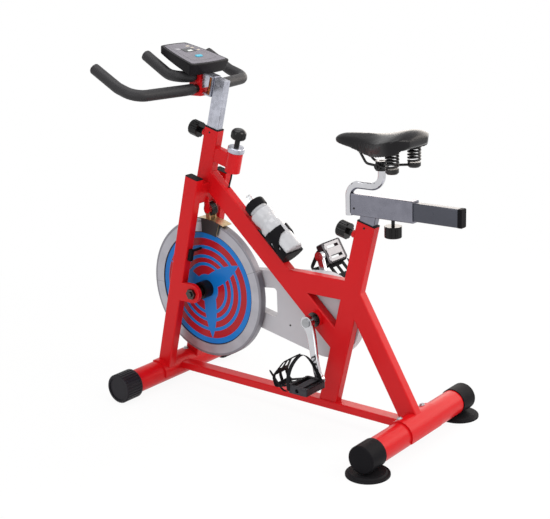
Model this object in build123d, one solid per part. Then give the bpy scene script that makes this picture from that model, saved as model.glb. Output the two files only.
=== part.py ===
"""Indoor cycling bike: a welded frame with flywheel, chain drive, rim brake, sliding saddle and handlebar.

Millimetres. X points forward, Y to the rider's left, Z up; the floor is Z = 0.
"""
import math
import os

from build123d import *

os.makedirs("parts", exist_ok=True)

# The middle of the bike's length, where the origin is put
MIDDLE_X = 9.0

# Stabiliser tubes that lie across the floor
REAR_X = -405.0
FRONT_X = 506.0
STABILISER_OUTER = 74.0
STABILISER_WALL = 2.5
CAP_INNER_Y = 205.0
CAP_LENGTH = 66.0
CAP_OUTER = 80.0
CAP_WALL = 3.0
CAP_GRIP = 14.0
ROLLER_OUTER = 92.0
ROLLER_RIBS = 30
ROLLER_RIB_DEPTH = 2.0
ROLLER_GAP = 0.06
ROLLER_FACE_RECESS = 3.0
FOOT_OUTER = 122.0
FOOT_RIM = 6.0
FOOT_CROWN = 4.0
FOOT_STUD = 12.0
FOOT_STUD_TOP = 44.0
FOOT_BOSS = 24.0
FOOT_ROOM = 2.4
FOOT_Y = 236.0
CRADLE_WALL = 4.5
CRADLE_HALF = 78.0
FRONT_CRADLE_HALF = 98.0
REAR_CRADLE_FROM = -28.0
REAR_CRADLE_TO = 205.0
FRONT_CRADLE_FROM = 68.0
FRONT_CRADLE_TO = 196.0

# Rectangular frame tubes
TUBE_DEEP = 60.0
TUBE_WIDE = 30.0
TUBE_WALL = 2.0
TUBE_CORNER = 4.0
RAIL_WIDE = 40.0
RAIL_TALL = 24.0
RAIL_Z = 54.0
FORK_DEEP = 50.0
FORK_LEAN = 14.6
FORK_Y = 65.0
FORK_MID_X = 382.0
FORK_MID_Z = 490.0
FORK_TOP_Z = 696.0
CROWN_TALL = 62.0
CROWN_DEEP = 44.0
CROWN_Z = 648.0
HEAD_DEEP = 52.0
HEAD_WIDE = 32.0
HEAD_LEAN = 15.5
HEAD_TOP_X = 296.0
HEAD_TOP_Z = 838.0
SEAT_LEAN = 14.5
SEAT_TOP_X = -254.5
SEAT_TOP_Z = 616.0
STAY_LEAN = 29.7
DOWN_ANGLE = 42.6
BRACE_Z = 414.0
LINER_LIP = 3.0
LINER_DEPTH = 40.0
PLUG_DEPTH = 22.0
PLUG_LIP = 2.0

# Cranks, chain and flywheel
BRACKET_X = -80.0
BRACKET_Z = 314.0
SHELL_OUTER = 46.0
SHELL_HALF = 29.0
CUP_FLANGE = 2.0
CUP_DEPTH = 12.0
AXLE_OUTER = 17.0
RUN_GAP = 0.05
WHEEL_X = 350.0
WHEEL_Z = 332.0
WHEEL_RADIUS = 220.0
WHEEL_THICK = 25.0
DISC_RADIUS = 183.0
DISC_THICK = 3.0
WEB_THICK = 14.0
HUB_RADIUS = 27.0
HUB_LEFT = 42.0
HUB_RIGHT = 46.0
HUB_GROOVES = 6
HUB_GROOVE_DEPTH = 1.5
WHEEL_AXLE = 17.0
WHEEL_AXLE_HALF = 94.0
BEARING_OUTER = 40.0
BEARING_WIDE = 12.0
NUT_ACROSS = 30.0
NUT_THICK = 9.0
LUG_RADIUS = 30.0
LUG_THICK = 12.0
CHAIN_Y = -33.0
CHAIN_PITCH = 12.7
RING_TEETH = 52
SPROCKET_TEETH = 18
TOOTH_HEIGHT = 3.6
TOOTH_THICK = 4.0
CHAIN_GAP = 0.5
PLATE_THICK = 1.4
PLATE_HALF = 4.2
CRANK_LENGTH = 165.0
CRANK_BACK = 20.0
CRANK_BOSS_Y = 58.0
CRANK_BOSS_RADIUS = 19.0
CRANK_BOSS_THICK = 16.0
CRANK_END_Y = 83.0
CRANK_END_RADIUS = 15.0
CRANK_END_THICK = 14.0
SPINDLE = 12.0

# Chain guard: two shells that meet in the chain's plane
GUARD_REAR_RADIUS = 128.0
GUARD_FRONT_RADIUS = 60.0
GUARD_WALL = 2.0
GUARD_INNER_Y = -17.5
GUARD_OUTER_Y = -48.0
GUARD_ARM = 54.0
WINDOW_REAR_X = 92.0
WINDOW_FRONT_X = 262.0
WINDOW_CORNER = 12.0

# Pedals and toe cages, drawn about the pedal's own axis
PEDAL_LONG = 66.0
PEDAL_WIDE = 92.0
PEDAL_THICK = 22.0
PEDAL_INSET = 7.0
PEDAL_RAIL = 9.0
PEDAL_BARREL = 24.0
PEDAL_TEETH = 9
TOOTH_NOTCH = 4.0
CAGE_WIDE = 72.0
CAGE_THICK = 3.6
CAGE_REACH = 112.0
CAGE_TALL = 92.0
STRAP_WIDE = 13.0
STRAP_THICK = 2.0
RIGHT_PEDAL_TURN = 120.0

# Handlebar, its post and the console
POST_DEEP = 44.0
POST_WIDE = 25.0
POST_WALL = 2.0
POST_TOP_RISE = 153.0
POST_INSIDE = 130.0
BAR_TUBE = 25.4
BAR_BORE = 21.0
GRIP_OUTER = 34.0
BAR_HALF = 245.0
BAR_X = HEAD_TOP_X + 42.0
BAR_Z = HEAD_TOP_Z + 119.0
HORN_CORNER_X = BAR_X + 34.0
HORN_BEND_X = BAR_X + 102.0
HORN_BEND_Z = BAR_Z + 22.0
HORN_TIP_X = BAR_X + 196.0
HORN_TIP_Z = BAR_Z + 74.0
BAR_BEND = 48.0
HORN_BEND = 70.0
INNER_HALF = 66.0
INNER_X = BAR_X + 7.0
INNER_Z = BAR_Z + 36.0
INNER_BEND_X = INNER_X + 63.0
INNER_BEND_Z = INNER_Z + 6.0
INNER_TIP_X = INNER_X + 155.0
INNER_TIP_Z = INNER_Z + 61.0
INNER_CORNER = 40.0
GRIP_START = 40.0
INNER_GRIP_START = 30.0
CLAMP_TALL = 62.0
CLAMP_WIDE = 34.0
CLAMP_WALL = 4.0
BLOCK_WIDE = 50.0
BLOCK_FRONT = 20.0
BLOCK_BACK = 3.0
BLOCK_ABOVE = 17.0
BLOCK_BELOW = 22.0
CONSOLE_WIDE = 166.0
CONSOLE_FRONT_WIDE = 111.0
CONSOLE_DEEP = 160.0
CONSOLE_THICK = 36.0
CONSOLE_FRONT_THICK = 23.0
CONSOLE_BULGE = 5.0
CONSOLE_TILT = 17.9
CONSOLE_X = INNER_X + 26.3
CONSOLE_Z = INNER_Z + 65.0
PANEL_MARGIN = 9.0
PANEL_RISE = 0.8
PANEL_SEAT = 1.0
BUTTON_LONG = 26.0
BUTTON_WIDE = 13.0
BUTTON_RISE = 2.0
BUTTON_SEAT = 3.0
BUTTON_BACK = 28.0

# Clamping knobs
KNOB_RADIUS = 24.0
KNOB_LENGTH = 32.0
KNOB_FLUTES = 10
FLUTE_RADIUS = 3.5
KNOB_EDGE = 3.0
SCREW = 10.0
SCREW_GAP = 0.4
HEAD_KNOB_DROP = 24.0
SEAT_KNOB_DROP = 46.0
KNOB_STAND = 26.0
KNOB_BOSS = 22.0
KNOB_BOSS_LONG = 10.0

# Brake
BRAKE_BEHIND = 94.0
BRAKE_DROP = 42.0
BRAKE_RADIUS = 23.0
BRAKE_LENGTH = 62.0
ARM_WIDE = 26.0
ARM_TALL = 46.0
COLLAR_RADIUS = 25.5
COLLAR_TALL = 17.0
STEM_RADIUS = 8.0
STEM_LENGTH = 30.0
MUSHROOM_RADIUS = 23.0
MUSHROOM_TALL = 32.0
MUSHROOM_LOBES = 6
LOBE_RADIUS = 6.0
PIVOT_X = WHEEL_X - 23.0
PIVOT_Z = WHEEL_Z + WHEEL_RADIUS + 36.0
PIVOT_PIN = 10.0
HANGER_WALL = 4.0
HANGER_GAP = 30.0
SPRING_RADIUS = 19.0
SPRING_WIRE = 5.0
SPRING_TURNS = 4
SPRING_PITCH = 5.8
YOKE_WALL = 3.0
YOKE_HALF = 21.0
YOKE_CLEAR = 6.0
YOKE_START = 86.0
YOKE_END = 112.0
YOKE_DEPTH = 46.0
PAD_GAP = 1.5
PAD_START = 90.0
PAD_END = 105.0
EAR_WALL = 3.0
EAR_RADIUS = 8.0
CABLE = 5.0
SENSOR_Z = 459.0
SENSOR_LONG = 38.0
SENSOR_WIDE = 14.0
SENSOR_DEEP = 13.0

# Saddle, its slide and its post
SEAT_POST_DEEP = 50.0
SEAT_POST_WIDE = 25.0
SEAT_POST_INSIDE = 230.0
SLEEVE_Z = SEAT_TOP_Z + 52.0
SLEEVE_TALL = 60.0
SLEEVE_WIDE = 32.0
SLEEVE_FRONT_X = SEAT_TOP_X + 46.5
SLEEVE_BACK_X = SEAT_TOP_X - 151.5
SLIDER_TALL = 50.0
SLIDER_WIDE = 25.0
SLIDER_WALL = 2.0
SLIDER_BACK_X = SEAT_TOP_X - 285.5
SLIDER_CAP = 12.0
SLIDER_GAP = 0.4
BENT_TUBE = 22.2
BENT_BORE = 18.0
BENT_FRONT_X = SEAT_TOP_X + 62.5
BENT_RUN_Z = SLEEVE_Z + 54.0
BENT_TOP_X = SEAT_TOP_X - 45.5
BENT_TOP_Z = BENT_RUN_Z + 74.0
BENT_RADIUS = 34.0
SLIDE_KNOB_X = SEAT_TOP_X - 80.5
SLIDE_KNOB_DROP = 18.0
CLAMP_RADIUS = 17.0
CLAMP_LENGTH = 26.0
CLAMP_HINGE_RISE = 13.0
RAIL_WIRE = 7.0
RAIL_HALF = 21.0
RAIL_REACH_X = BENT_TOP_X + 88.0
CUP_RADIUS = 18.0
CUP_TALL = 14.0
COIL_X = BENT_TOP_X - 68.0
COIL_Y = 54.0
COIL_BASE_Z = BENT_TOP_Z - 6.0
COIL_TOP_Z = COIL_BASE_Z + 56.0
SPRING_CLEAR = 0.2
SPRING_SEAT_TALL = 5.6
COIL_RADIUS = 16.5
COIL_WIRE = 5.0
COIL_TURNS = 4
SADDLE_WALL = 9.0
SADDLE_PAD = 24.0
BASE_THICK = 5.0
SOFT_GAP = 0.4
# Saddle stations from nose to tail: place ahead of the bent tube's top, half width,
# crown height and skirt height above it
SADDLE_STATIONS = (
    (143.0, 13.0, 57.0, 42.0),
    (120.0, 22.0, 66.0, 36.0),
    (68.0, 27.0, 70.0, 24.0),
    (12.0, 44.0, 71.0, 15.0),
    (-42.0, 76.0, 79.0, 22.0),
    (-82.0, 87.0, 88.0, 34.0),
    (-110.0, 73.0, 86.0, 46.0),
    (-131.0, 46.0, 74.0, 54.0),
)

# Bottle and cage, along the down tube
BOTTLE_RADIUS = 36.0
BOTTLE_BODY = 112.0
BOTTLE_WAIST = 31.0
BOTTLE_SHOULDER = 34.0
BOTTLE_LENGTH = 168.0
BOTTLE_NECK = 27.0
BOTTLE_WALL = 1.6
BOTTLE_START = 192.0
BOTTLE_CAP_TALL = 26.0
NOZZLE_RADIUS = 8.0
NOZZLE_TALL = 20.0
CAGE_WALL = 3.5
CAGE_LENGTH = 118.0
CAGE_FOOT = 6.0
CAGE_OVERLAP = 8.0
BOTTLE_GAP = 0.6


def side_point(x, z, y=0.0):
    """A point of the frame's middle plane, or of a plane beside it."""
    return Vector(x, y, z)


def leaning(angle, forward=-1.0):
    """A unit vector that points up and leans by an angle, back by default."""
    turn = math.radians(angle)
    return Vector(forward * math.sin(turn), 0, math.cos(turn))


def slab(outline, y_low, y_high):
    """Extrude an outline drawn in X and Z between two side planes."""
    return extrude(Plane.XZ.offset(-y_high) * outline, y_high - y_low)


def disc(x, z, radius, y_low, y_high, bore=0.0):
    """A round plate or ring that lies across the bike."""
    outline = Circle(radius)
    if bore:
        outline = outline - Circle(bore)
    return slab(Pos(x, z) * outline, y_low, y_high)


def rod(start, direction, length, radius, bore=0.0):
    """A round bar or tube along any direction."""
    outline = Circle(radius)
    if bore:
        outline = outline - Circle(bore)
    return extrude(Plane(origin=start, z_dir=direction) * outline, length)


def section_plane(start, direction):
    """A plane across a frame member: local x to the left, local y in the frame's plane."""
    return Plane(origin=start, x_dir=(0, 1, 0), z_dir=direction)


def full_beam(start, direction, length, deep, wide, corner):
    """The outer form of a rectangular tube, filled in."""
    return extrude(section_plane(start, direction) * RectangleRounded(wide, deep, corner), length)


def tube_beam(start, direction, length, deep, wide, wall, corner):
    """A rectangular steel tube."""
    outline = RectangleRounded(wide, deep, corner)
    inside = RectangleRounded(wide - 2 * wall, deep - 2 * wall, max(corner - wall, wall / 4))
    return extrude(section_plane(start, direction) * (outline - inside), length)


def largest(shape):
    """The biggest solid that a cut leaves."""
    return max(shape.solids(), key=lambda solid: solid.volume)


def bent_bar(points, radii, outer, bore=0.0):
    """A round bar or tube bent along straight runs and arcs."""
    path = FilletPolyline(*points, radius=radii)
    start = Plane(origin=path @ 0, z_dir=path % 0)
    bar = sweep(start * Circle(outer / 2), path=path)
    if bore:
        bar = bar - sweep(start * Circle(bore / 2), path=path)
    return bar


def belt_outline(x_1, z_1, radius_1, x_2, z_2, radius_2):
    """The outline of a tight belt round two wheels of the middle plane."""
    reach = math.hypot(x_2 - x_1, z_2 - z_1)
    heading = math.atan2(z_2 - z_1, x_2 - x_1)
    spread = math.acos((radius_1 - radius_2) / reach)

    def rim(x, z, radius, angle):
        return x + radius * math.cos(angle), z + radius * math.sin(angle)

    upper = heading + spread
    lower = heading - spread
    line_top = Line(rim(x_2, z_2, radius_2, upper), rim(x_1, z_1, radius_1, upper))
    back = ThreePointArc(line_top @ 1, rim(x_1, z_1, radius_1, heading + math.pi), rim(x_1, z_1, radius_1, lower))
    line_low = Line(back @ 1, rim(x_2, z_2, radius_2, lower))
    front = ThreePointArc(line_low @ 1, rim(x_2, z_2, radius_2, heading), line_top @ 0)
    return make_face([line_top, back, line_low, front])


def toothed_outline(teeth, pitch, height):
    """A sprocket's outline, with straight-sided teeth on its pitch circle."""
    pitch_radius = teeth * pitch / (2 * math.pi)
    corners = []
    for tooth in range(teeth):
        for share, rise in ((0.0, -1.0), (0.3, -1.0), (0.5, 1.0), (0.8, 1.0)):
            angle = 2 * math.pi * (tooth + share) / teeth
            radius = pitch_radius + rise * height
            corners.append((radius * math.cos(angle), radius * math.sin(angle)))
    return make_face(Polyline(*corners, close=True))


def arc_middle(start, end, heading):
    """The middle point of the arc that leaves a start with a heading and reaches an end."""
    chord = end - start
    along = chord.normalized()
    side = (heading - along * heading.dot(along)).normalized()
    turn = math.acos(min(1.0, heading.normalized().dot(along)))
    return (start + end) / 2 + side * (chord.length / 2 * math.tan(turn / 2))


def coil_path(plane, radius, turns, pitch):
    """A helix about a plane's normal, as two tangent arcs for each quarter turn."""
    steps = 4 * turns
    points = []
    tangents = []
    for step in range(steps + 1):
        angle = math.pi / 2 * step
        local = Vector(radius * math.cos(angle), radius * math.sin(angle), pitch * step / 4)
        heading = Vector(-radius * math.sin(angle), radius * math.cos(angle), pitch / (2 * math.pi))
        points.append(plane.from_local_coords(local))
        tangents.append(plane.from_local_coords(local + heading) - points[-1])
    arcs = []
    for index in range(steps):
        start, end = points[index], points[index + 1]
        go, arrive = tangents[index].normalized(), tangents[index + 1].normalized()
        chord = end - start
        both = go + arrive
        bend = 2 * (1 - go.dot(arrive))
        reach = (math.sqrt(chord.dot(both) ** 2 + bend * chord.dot(chord)) - chord.dot(both)) / bend
        middle = (start + end + (go - arrive) * reach) / 2
        arcs.append(ThreePointArc(start, arc_middle(start, middle, go), middle))
        arcs.append(ThreePointArc(middle, arc_middle(end, middle, arrive * -1), end))
    return Wire(arcs)


def coil_spring(plane, radius, turns, pitch, wire):
    """A spring of one unbroken wire, whose least gap between turns is printed."""
    path = coil_path(plane, radius, turns, pitch)
    climb = math.atan2(pitch, 2 * math.pi * radius)
    print(f"spring gap {pitch * math.cos(climb) - wire:.2f} mm over {turns} turns")
    return sweep(Plane(origin=path @ 0, z_dir=path % 0) * Circle(wire / 2), path=path)


def fluted_knob(radius, length, flutes, flute_radius, edge):
    """A moulded knob with finger flutes, standing on its base."""
    body = extrude(Circle(radius), length)
    body = fillet(body.edges().group_by(Axis.Z)[-1], edge)
    cuts = PolarLocations(radius + flute_radius * 0.35, flutes) * extrude(Circle(flute_radius), length)
    return body - cuts


def save(name, *shapes):
    """Write one node, as a single solid or as a group of separate solids."""
    solids = [solid for shape in shapes for solid in shape.solids()]
    whole = solids[0] if len(solids) == 1 else Compound(solids)
    export_step(Pos(-MIDDLE_X, 0, 0) * whole, f"parts/{name}.step")


# Directions of the frame members
HEAD_UP = leaning(HEAD_LEAN)
HEAD_FORWARD = Vector(HEAD_UP.Z, 0, -HEAD_UP.X)
SEAT_UP = leaning(SEAT_LEAN)
SEAT_FORWARD = Vector(SEAT_UP.Z, 0, -SEAT_UP.X)
FORK_UP = leaning(FORK_LEAN)
STAY_UP = leaning(STAY_LEAN, 1.0)
DOWN_DIR = Vector(math.cos(math.radians(DOWN_ANGLE)), 0, math.sin(math.radians(DOWN_ANGLE)))
DOWN_NORMAL = Vector(-DOWN_DIR.Z, 0, DOWN_DIR.X)

# Heights and places that follow from the driving sizes
STABILISER_RADIUS = STABILISER_OUTER / 2
ROLLER_RADIUS = ROLLER_OUTER / 2
FRONT_Z = ROLLER_RADIUS
CAP_RADIUS = CAP_OUTER / 2
REAR_Z = FOOT_RIM + FOOT_CROWN + FOOT_ROOM + CAP_RADIUS
CAP_OUTER_Y = CAP_INNER_Y + CAP_LENGTH
HEAD_TOP = side_point(HEAD_TOP_X, HEAD_TOP_Z)
SEAT_TOP = side_point(SEAT_TOP_X, SEAT_TOP_Z)
BRACKET = side_point(BRACKET_X, BRACKET_Z)
RING_RADIUS = RING_TEETH * CHAIN_PITCH / (2 * math.pi)
SPROCKET_RADIUS = SPROCKET_TEETH * CHAIN_PITCH / (2 * math.pi)
FORK_OUTER_Y = FORK_Y + TUBE_WIDE / 2
FORK_INNER_Y = FORK_Y - TUBE_WIDE / 2


def fork_point(z, y=0.0):
    """The fork's centre line at a height."""
    return side_point(FORK_MID_X - (z - FORK_MID_Z) * math.tan(math.radians(FORK_LEAN)), z, y)


def outer_cylinder(x, z, radius):
    """A filled cylinder along a stabiliser, used to cope what meets it."""
    return disc(x, z, radius, -CAP_INNER_Y, CAP_INNER_Y)


# Filled forms of the tubes that others are cut against
seat_form = full_beam(SEAT_TOP, SEAT_UP * -1, SEAT_TOP_Z, TUBE_DEEP, TUBE_WIDE, TUBE_CORNER)
head_length = (HEAD_TOP_Z - CROWN_Z) / HEAD_UP.Z
head_form = full_beam(HEAD_TOP, HEAD_UP * -1, head_length, HEAD_DEEP, HEAD_WIDE, TUBE_CORNER)
head_bore = full_beam(
    HEAD_TOP, HEAD_UP * -1, head_length + CROWN_TALL, HEAD_DEEP - 2 * TUBE_WALL, HEAD_WIDE - 2 * TUBE_WALL,
    TUBE_CORNER - TUBE_WALL)
down_start = BRACKET - DOWN_DIR * 150
down_length = 150 + (HEAD_TOP_X - BRACKET_X) / DOWN_DIR.X + 60
down_form = full_beam(down_start, DOWN_DIR, down_length, TUBE_DEEP, TUBE_WIDE, TUBE_CORNER)
rail_form = Pos((REAR_X + FRONT_X) / 2, 0, RAIL_Z) * Box(FRONT_X - REAR_X, RAIL_WIDE, RAIL_TALL)
rear_core = outer_cylinder(REAR_X, REAR_Z, STABILISER_RADIUS)
front_core = outer_cylinder(FRONT_X, FRONT_Z, STABILISER_RADIUS)
rear_sleeve = outer_cylinder(REAR_X, REAR_Z, STABILISER_RADIUS + CRADLE_WALL)
front_sleeve = outer_cylinder(FRONT_X, FRONT_Z, STABILISER_RADIUS + CRADLE_WALL)


def build_stabilisers():
    """The two round cross tubes, their caps, rollers and levelling feet."""
    inner = STABILISER_RADIUS - STABILISER_WALL
    rear_half = CAP_INNER_Y + CAP_GRIP
    save("rear_stabiliser", disc(REAR_X, REAR_Z, STABILISER_RADIUS, -rear_half, rear_half, inner))
    front_half = CAP_OUTER_Y - 12
    save("front_stabiliser", disc(FRONT_X, FRONT_Z, STABILISER_RADIUS, -front_half, front_half, inner))

    caps = []
    for side in (1, -1):
        cap = Plane(origin=(REAR_X, side * CAP_INNER_Y, REAR_Z), z_dir=(0, side, 0)) * extrude(
            Circle(CAP_RADIUS), CAP_LENGTH)
        far = cap.faces().sort_by(Axis.Y)[-1 if side > 0 else 0]
        cap = fillet(far.edges(), 6)
        mouth = Plane(origin=(REAR_X, side * CAP_INNER_Y, REAR_Z), z_dir=(0, side, 0))
        cap = cap - mouth * extrude(Circle(STABILISER_RADIUS + ROLLER_GAP), CAP_GRIP + ROLLER_GAP)
        cap = cap - mouth * extrude(Circle(CAP_RADIUS - 2 * CAP_WALL), CAP_LENGTH - CAP_WALL)
        boss = rod((REAR_X, side * FOOT_Y, REAR_Z - CAP_RADIUS + 1), (0, 0, 1), FOOT_STUD_TOP - 8, FOOT_BOSS / 2)
        stud_way = rod((REAR_X, side * FOOT_Y, 0), (0, 0, 1), FOOT_STUD_TOP + 4, FOOT_STUD / 2 + SCREW_GAP)
        keep = Plane(origin=(REAR_X, side * CAP_INNER_Y, REAR_Z), z_dir=(0, side, 0)) * extrude(
            Circle(CAP_RADIUS - CAP_WALL), CAP_LENGTH - CAP_WALL)
        caps.append(largest(cap + (boss & keep) - stud_way))
    save("rear_end_caps", *caps)

    for side, name in ((1, "left"), (-1, "right")):
        base = Plane(origin=(REAR_X, side * FOOT_Y, 0))
        foot = base * extrude(Circle(FOOT_OUTER / 2), FOOT_RIM)
        foot = fillet(foot.edges().group_by(Axis.Z)[-1], 2)
        crown = base.offset(FOOT_RIM) * extrude(Circle(FOOT_OUTER / 2 - 8), FOOT_CROWN, taper=45)
        stud = base * extrude(Circle(FOOT_STUD / 2), FOOT_STUD_TOP)
        save(f"foot_{name}", foot + crown + stud)

        root = Plane(origin=(FRONT_X, side * CAP_INNER_Y, FRONT_Z), x_dir=(0, 0, -1), z_dir=(0, side, 0))
        roller = root * extrude(Circle(ROLLER_RADIUS), CAP_LENGTH)
        rims = roller.edges().filter_by(GeomType.CIRCLE)
        roller = chamfer(rims, 3)
        grooves = PolarLocations(ROLLER_RADIUS, ROLLER_RIBS, start_angle=180 / ROLLER_RIBS)
        groove = Pos(0, 0, 8) * extrude(Rectangle(2 * ROLLER_RIB_DEPTH, 5.0), CAP_LENGTH)
        roller = roller - [root * cut for cut in grooves * groove]
        roller = roller - root * extrude(Circle(STABILISER_RADIUS + ROLLER_GAP), CAP_LENGTH - 12 + 0.4)
        roller = roller - root.offset(CAP_LENGTH - ROLLER_FACE_RECESS) * extrude(Circle(ROLLER_RADIUS - 9), 10)
        save(f"roller_{name}", largest(roller))


def cradle(x, z, half, start, end):
    """A curved saddle plate that a stabiliser is bolted into."""
    outer = STABILISER_RADIUS + CRADLE_WALL
    ring = Pos(x, z) * (Circle(outer) - Circle(STABILISER_RADIUS))
    reach = 3 * outer
    corners = [(x, z)]
    for share in range(5):
        angle = math.radians(start + (end - start) * share / 4)
        corners.append((x + reach * math.cos(angle), z + reach * math.sin(angle)))
    return slab(ring & make_face(Polyline(*corners, close=True)), -half, half)


def build_frame():
    """Rails, tubes and fork, each coped to what it is welded to."""
    rail = tube_beam(
        side_point(REAR_X, RAIL_Z), (1, 0, 0), FRONT_X - REAR_X, RAIL_TALL, RAIL_WIDE, TUBE_WALL, TUBE_CORNER)
    rail = largest(rail - rear_sleeve - front_core)
    save("base_rail", rail + cradle(FRONT_X, FRONT_Z, FRONT_CRADLE_HALF, FRONT_CRADLE_FROM, FRONT_CRADLE_TO))

    seat = tube_beam(SEAT_TOP, SEAT_UP * -1, SEAT_TOP_Z, TUBE_DEEP, TUBE_WIDE, TUBE_WALL, TUBE_CORNER)
    seat = largest(seat - rail_form)
    seat_screw = SEAT_TOP - SEAT_UP * SEAT_KNOB_DROP
    boss = rod(
        seat_screw + SEAT_FORWARD * (TUBE_DEEP / 2), SEAT_FORWARD, KNOB_BOSS_LONG, KNOB_BOSS / 2)
    screw_way = rod(seat_screw, SEAT_FORWARD, TUBE_DEEP, SCREW / 2 + SCREW_GAP)
    save("seat_tube", seat + boss - screw_way)

    stay_length = (SEAT_TOP_X - REAR_X + 140) / STAY_UP.X
    stay = tube_beam(
        side_point(REAR_X, REAR_Z), STAY_UP, stay_length, TUBE_DEEP, TUBE_WIDE, TUBE_WALL, TUBE_CORNER)
    behind = full_beam(
        SEAT_TOP + SEAT_FORWARD * 150, SEAT_UP * -1, SEAT_TOP_Z, 300, TUBE_WIDE * 2, TUBE_CORNER)
    stay = largest(stay - seat_form - behind - rear_sleeve - rail_form)
    rear_cradle = cradle(REAR_X, REAR_Z, CRADLE_HALF, REAR_CRADLE_FROM, REAR_CRADLE_TO)
    save("rear_stay", stay + rear_cradle)

    down = tube_beam(down_start, DOWN_DIR, down_length, TUBE_DEEP, TUBE_WIDE, TUBE_WALL, TUBE_CORNER)
    down = largest(down - seat_form - head_form - crown_form())
    shell = disc(BRACKET_X, BRACKET_Z, SHELL_OUTER / 2, -SHELL_HALF, SHELL_HALF)
    shell_bore = disc(BRACKET_X, BRACKET_Z, SHELL_OUTER / 2 - 3, -SHELL_HALF, SHELL_HALF)
    save("down_tube", down + shell - shell_bore)

    brace_back = SEAT_TOP_X + (SEAT_TOP_Z - BRACE_Z) * math.tan(math.radians(SEAT_LEAN))
    brace_long = BRACKET_X - brace_back + (BRACE_Z - BRACKET_Z) / math.tan(math.radians(DOWN_ANGLE))
    brace = tube_beam(
        side_point(brace_back, BRACE_Z), (1, 0, 0), brace_long, TUBE_DEEP, TUBE_WIDE, TUBE_WALL, TUBE_CORNER)
    save("top_brace", largest(brace - seat_form - down_form))

    head = tube_beam(HEAD_TOP, HEAD_UP * -1, head_length, HEAD_DEEP, HEAD_WIDE, TUBE_WALL, TUBE_CORNER)
    head_screw = HEAD_TOP - HEAD_UP * HEAD_KNOB_DROP
    head_boss = rod(head_screw + HEAD_FORWARD * (HEAD_DEEP / 2), HEAD_FORWARD, KNOB_BOSS_LONG, KNOB_BOSS / 2)
    head_way = rod(head_screw, HEAD_FORWARD, HEAD_DEEP, SCREW / 2 + SCREW_GAP)
    save("head_tube", head + head_boss - head_way + (crown_tube() - head_bore))

    for side, name in ((1, "left"), (-1, "right")):
        top = fork_point(FORK_TOP_Z, side * FORK_Y)
        length = FORK_TOP_Z / FORK_UP.Z
        blade = tube_beam(top, FORK_UP * -1, length, FORK_DEEP, TUBE_WIDE, TUBE_WALL, TUBE_CORNER)
        blade = largest(blade - front_sleeve)
        axle_row = fork_point(WHEEL_Z)
        plate = Pos(WHEEL_X, WHEEL_Z) * Circle(LUG_RADIUS)
        plate = plate + Pos((WHEEL_X + axle_row.X) / 2, WHEEL_Z) * Rectangle(axle_row.X - WHEEL_X, 2 * LUG_RADIUS)
        low, high = sorted((side * FORK_OUTER_Y, side * (FORK_OUTER_Y - LUG_THICK)))
        form = full_beam(top, FORK_UP * -1, length, FORK_DEEP, TUBE_WIDE, TUBE_CORNER)
        axle_way = disc(WHEEL_X, WHEEL_Z, WHEEL_AXLE / 2 + RUN_GAP, low, high)
        lug = largest(slab(plate, low, high) - form - axle_way)
        save(f"fork_blade_{name}", blade + lug)


def crown_form():
    """The filled cross tube that ties the two fork blades under the head tube."""
    outline = RectangleRounded(CROWN_DEEP, CROWN_TALL, TUBE_CORNER)
    middle = fork_point(CROWN_Z)
    turned = Pos(middle.X, middle.Z) * Rot(0, 0, FORK_LEAN) * outline
    return slab(turned, -FORK_INNER_Y, FORK_INNER_Y)


def crown_tube():
    """The cross tube itself, open inside."""
    wall = 2 * TUBE_WALL
    outline = RectangleRounded(CROWN_DEEP, CROWN_TALL, TUBE_CORNER)
    inside = RectangleRounded(CROWN_DEEP - wall, CROWN_TALL - wall, TUBE_CORNER - TUBE_WALL)
    middle = fork_point(CROWN_Z)
    return slab(Pos(middle.X, middle.Z) * Rot(0, 0, FORK_LEAN) * (outline - inside), -FORK_INNER_Y, FORK_INNER_Y)


def build_plugs():
    """Plastic plugs in the fork's tops and the liners that guide the two posts."""
    plugs = []
    for side in (1, -1):
        top = fork_point(FORK_TOP_Z, side * FORK_Y)
        room = 2 * TUBE_WALL + 0.2
        inner = full_beam(
            top, FORK_UP * -1, PLUG_DEPTH, FORK_DEEP - room, TUBE_WIDE - room, TUBE_CORNER - TUBE_WALL)
        lip = full_beam(top, FORK_UP, PLUG_LIP, FORK_DEEP, TUBE_WIDE, TUBE_CORNER)
        plugs.append(inner + lip)
    for top, up, deep, wide, post_deep, post_wide in (
            (HEAD_TOP, HEAD_UP, HEAD_DEEP, HEAD_WIDE, POST_DEEP, POST_WIDE),
            (SEAT_TOP, SEAT_UP, TUBE_DEEP, TUBE_WIDE, SEAT_POST_DEEP, SEAT_POST_WIDE)):
        room = 2 * TUBE_WALL + 0.1
        way = full_beam(
            top - up * LINER_DEPTH, up, LINER_DEPTH + LINER_LIP, post_deep + 2 * SLIDER_GAP,
            post_wide + 2 * RUN_GAP, TUBE_CORNER - TUBE_WALL)
        body = full_beam(top, up * -1, LINER_DEPTH, deep - room, wide - room, TUBE_CORNER - TUBE_WALL)
        lip = full_beam(top, up, LINER_LIP, deep, wide, TUBE_CORNER)
        forward = Vector(up.Z, 0, -up.X)
        drop = HEAD_KNOB_DROP if top == HEAD_TOP else SEAT_KNOB_DROP
        screw_way = rod(top - up * drop, forward, deep, SCREW / 2 + SCREW_GAP)
        plugs.append(largest(body + lip - way - screw_way))
    save("tube_plugs", *plugs)


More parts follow.
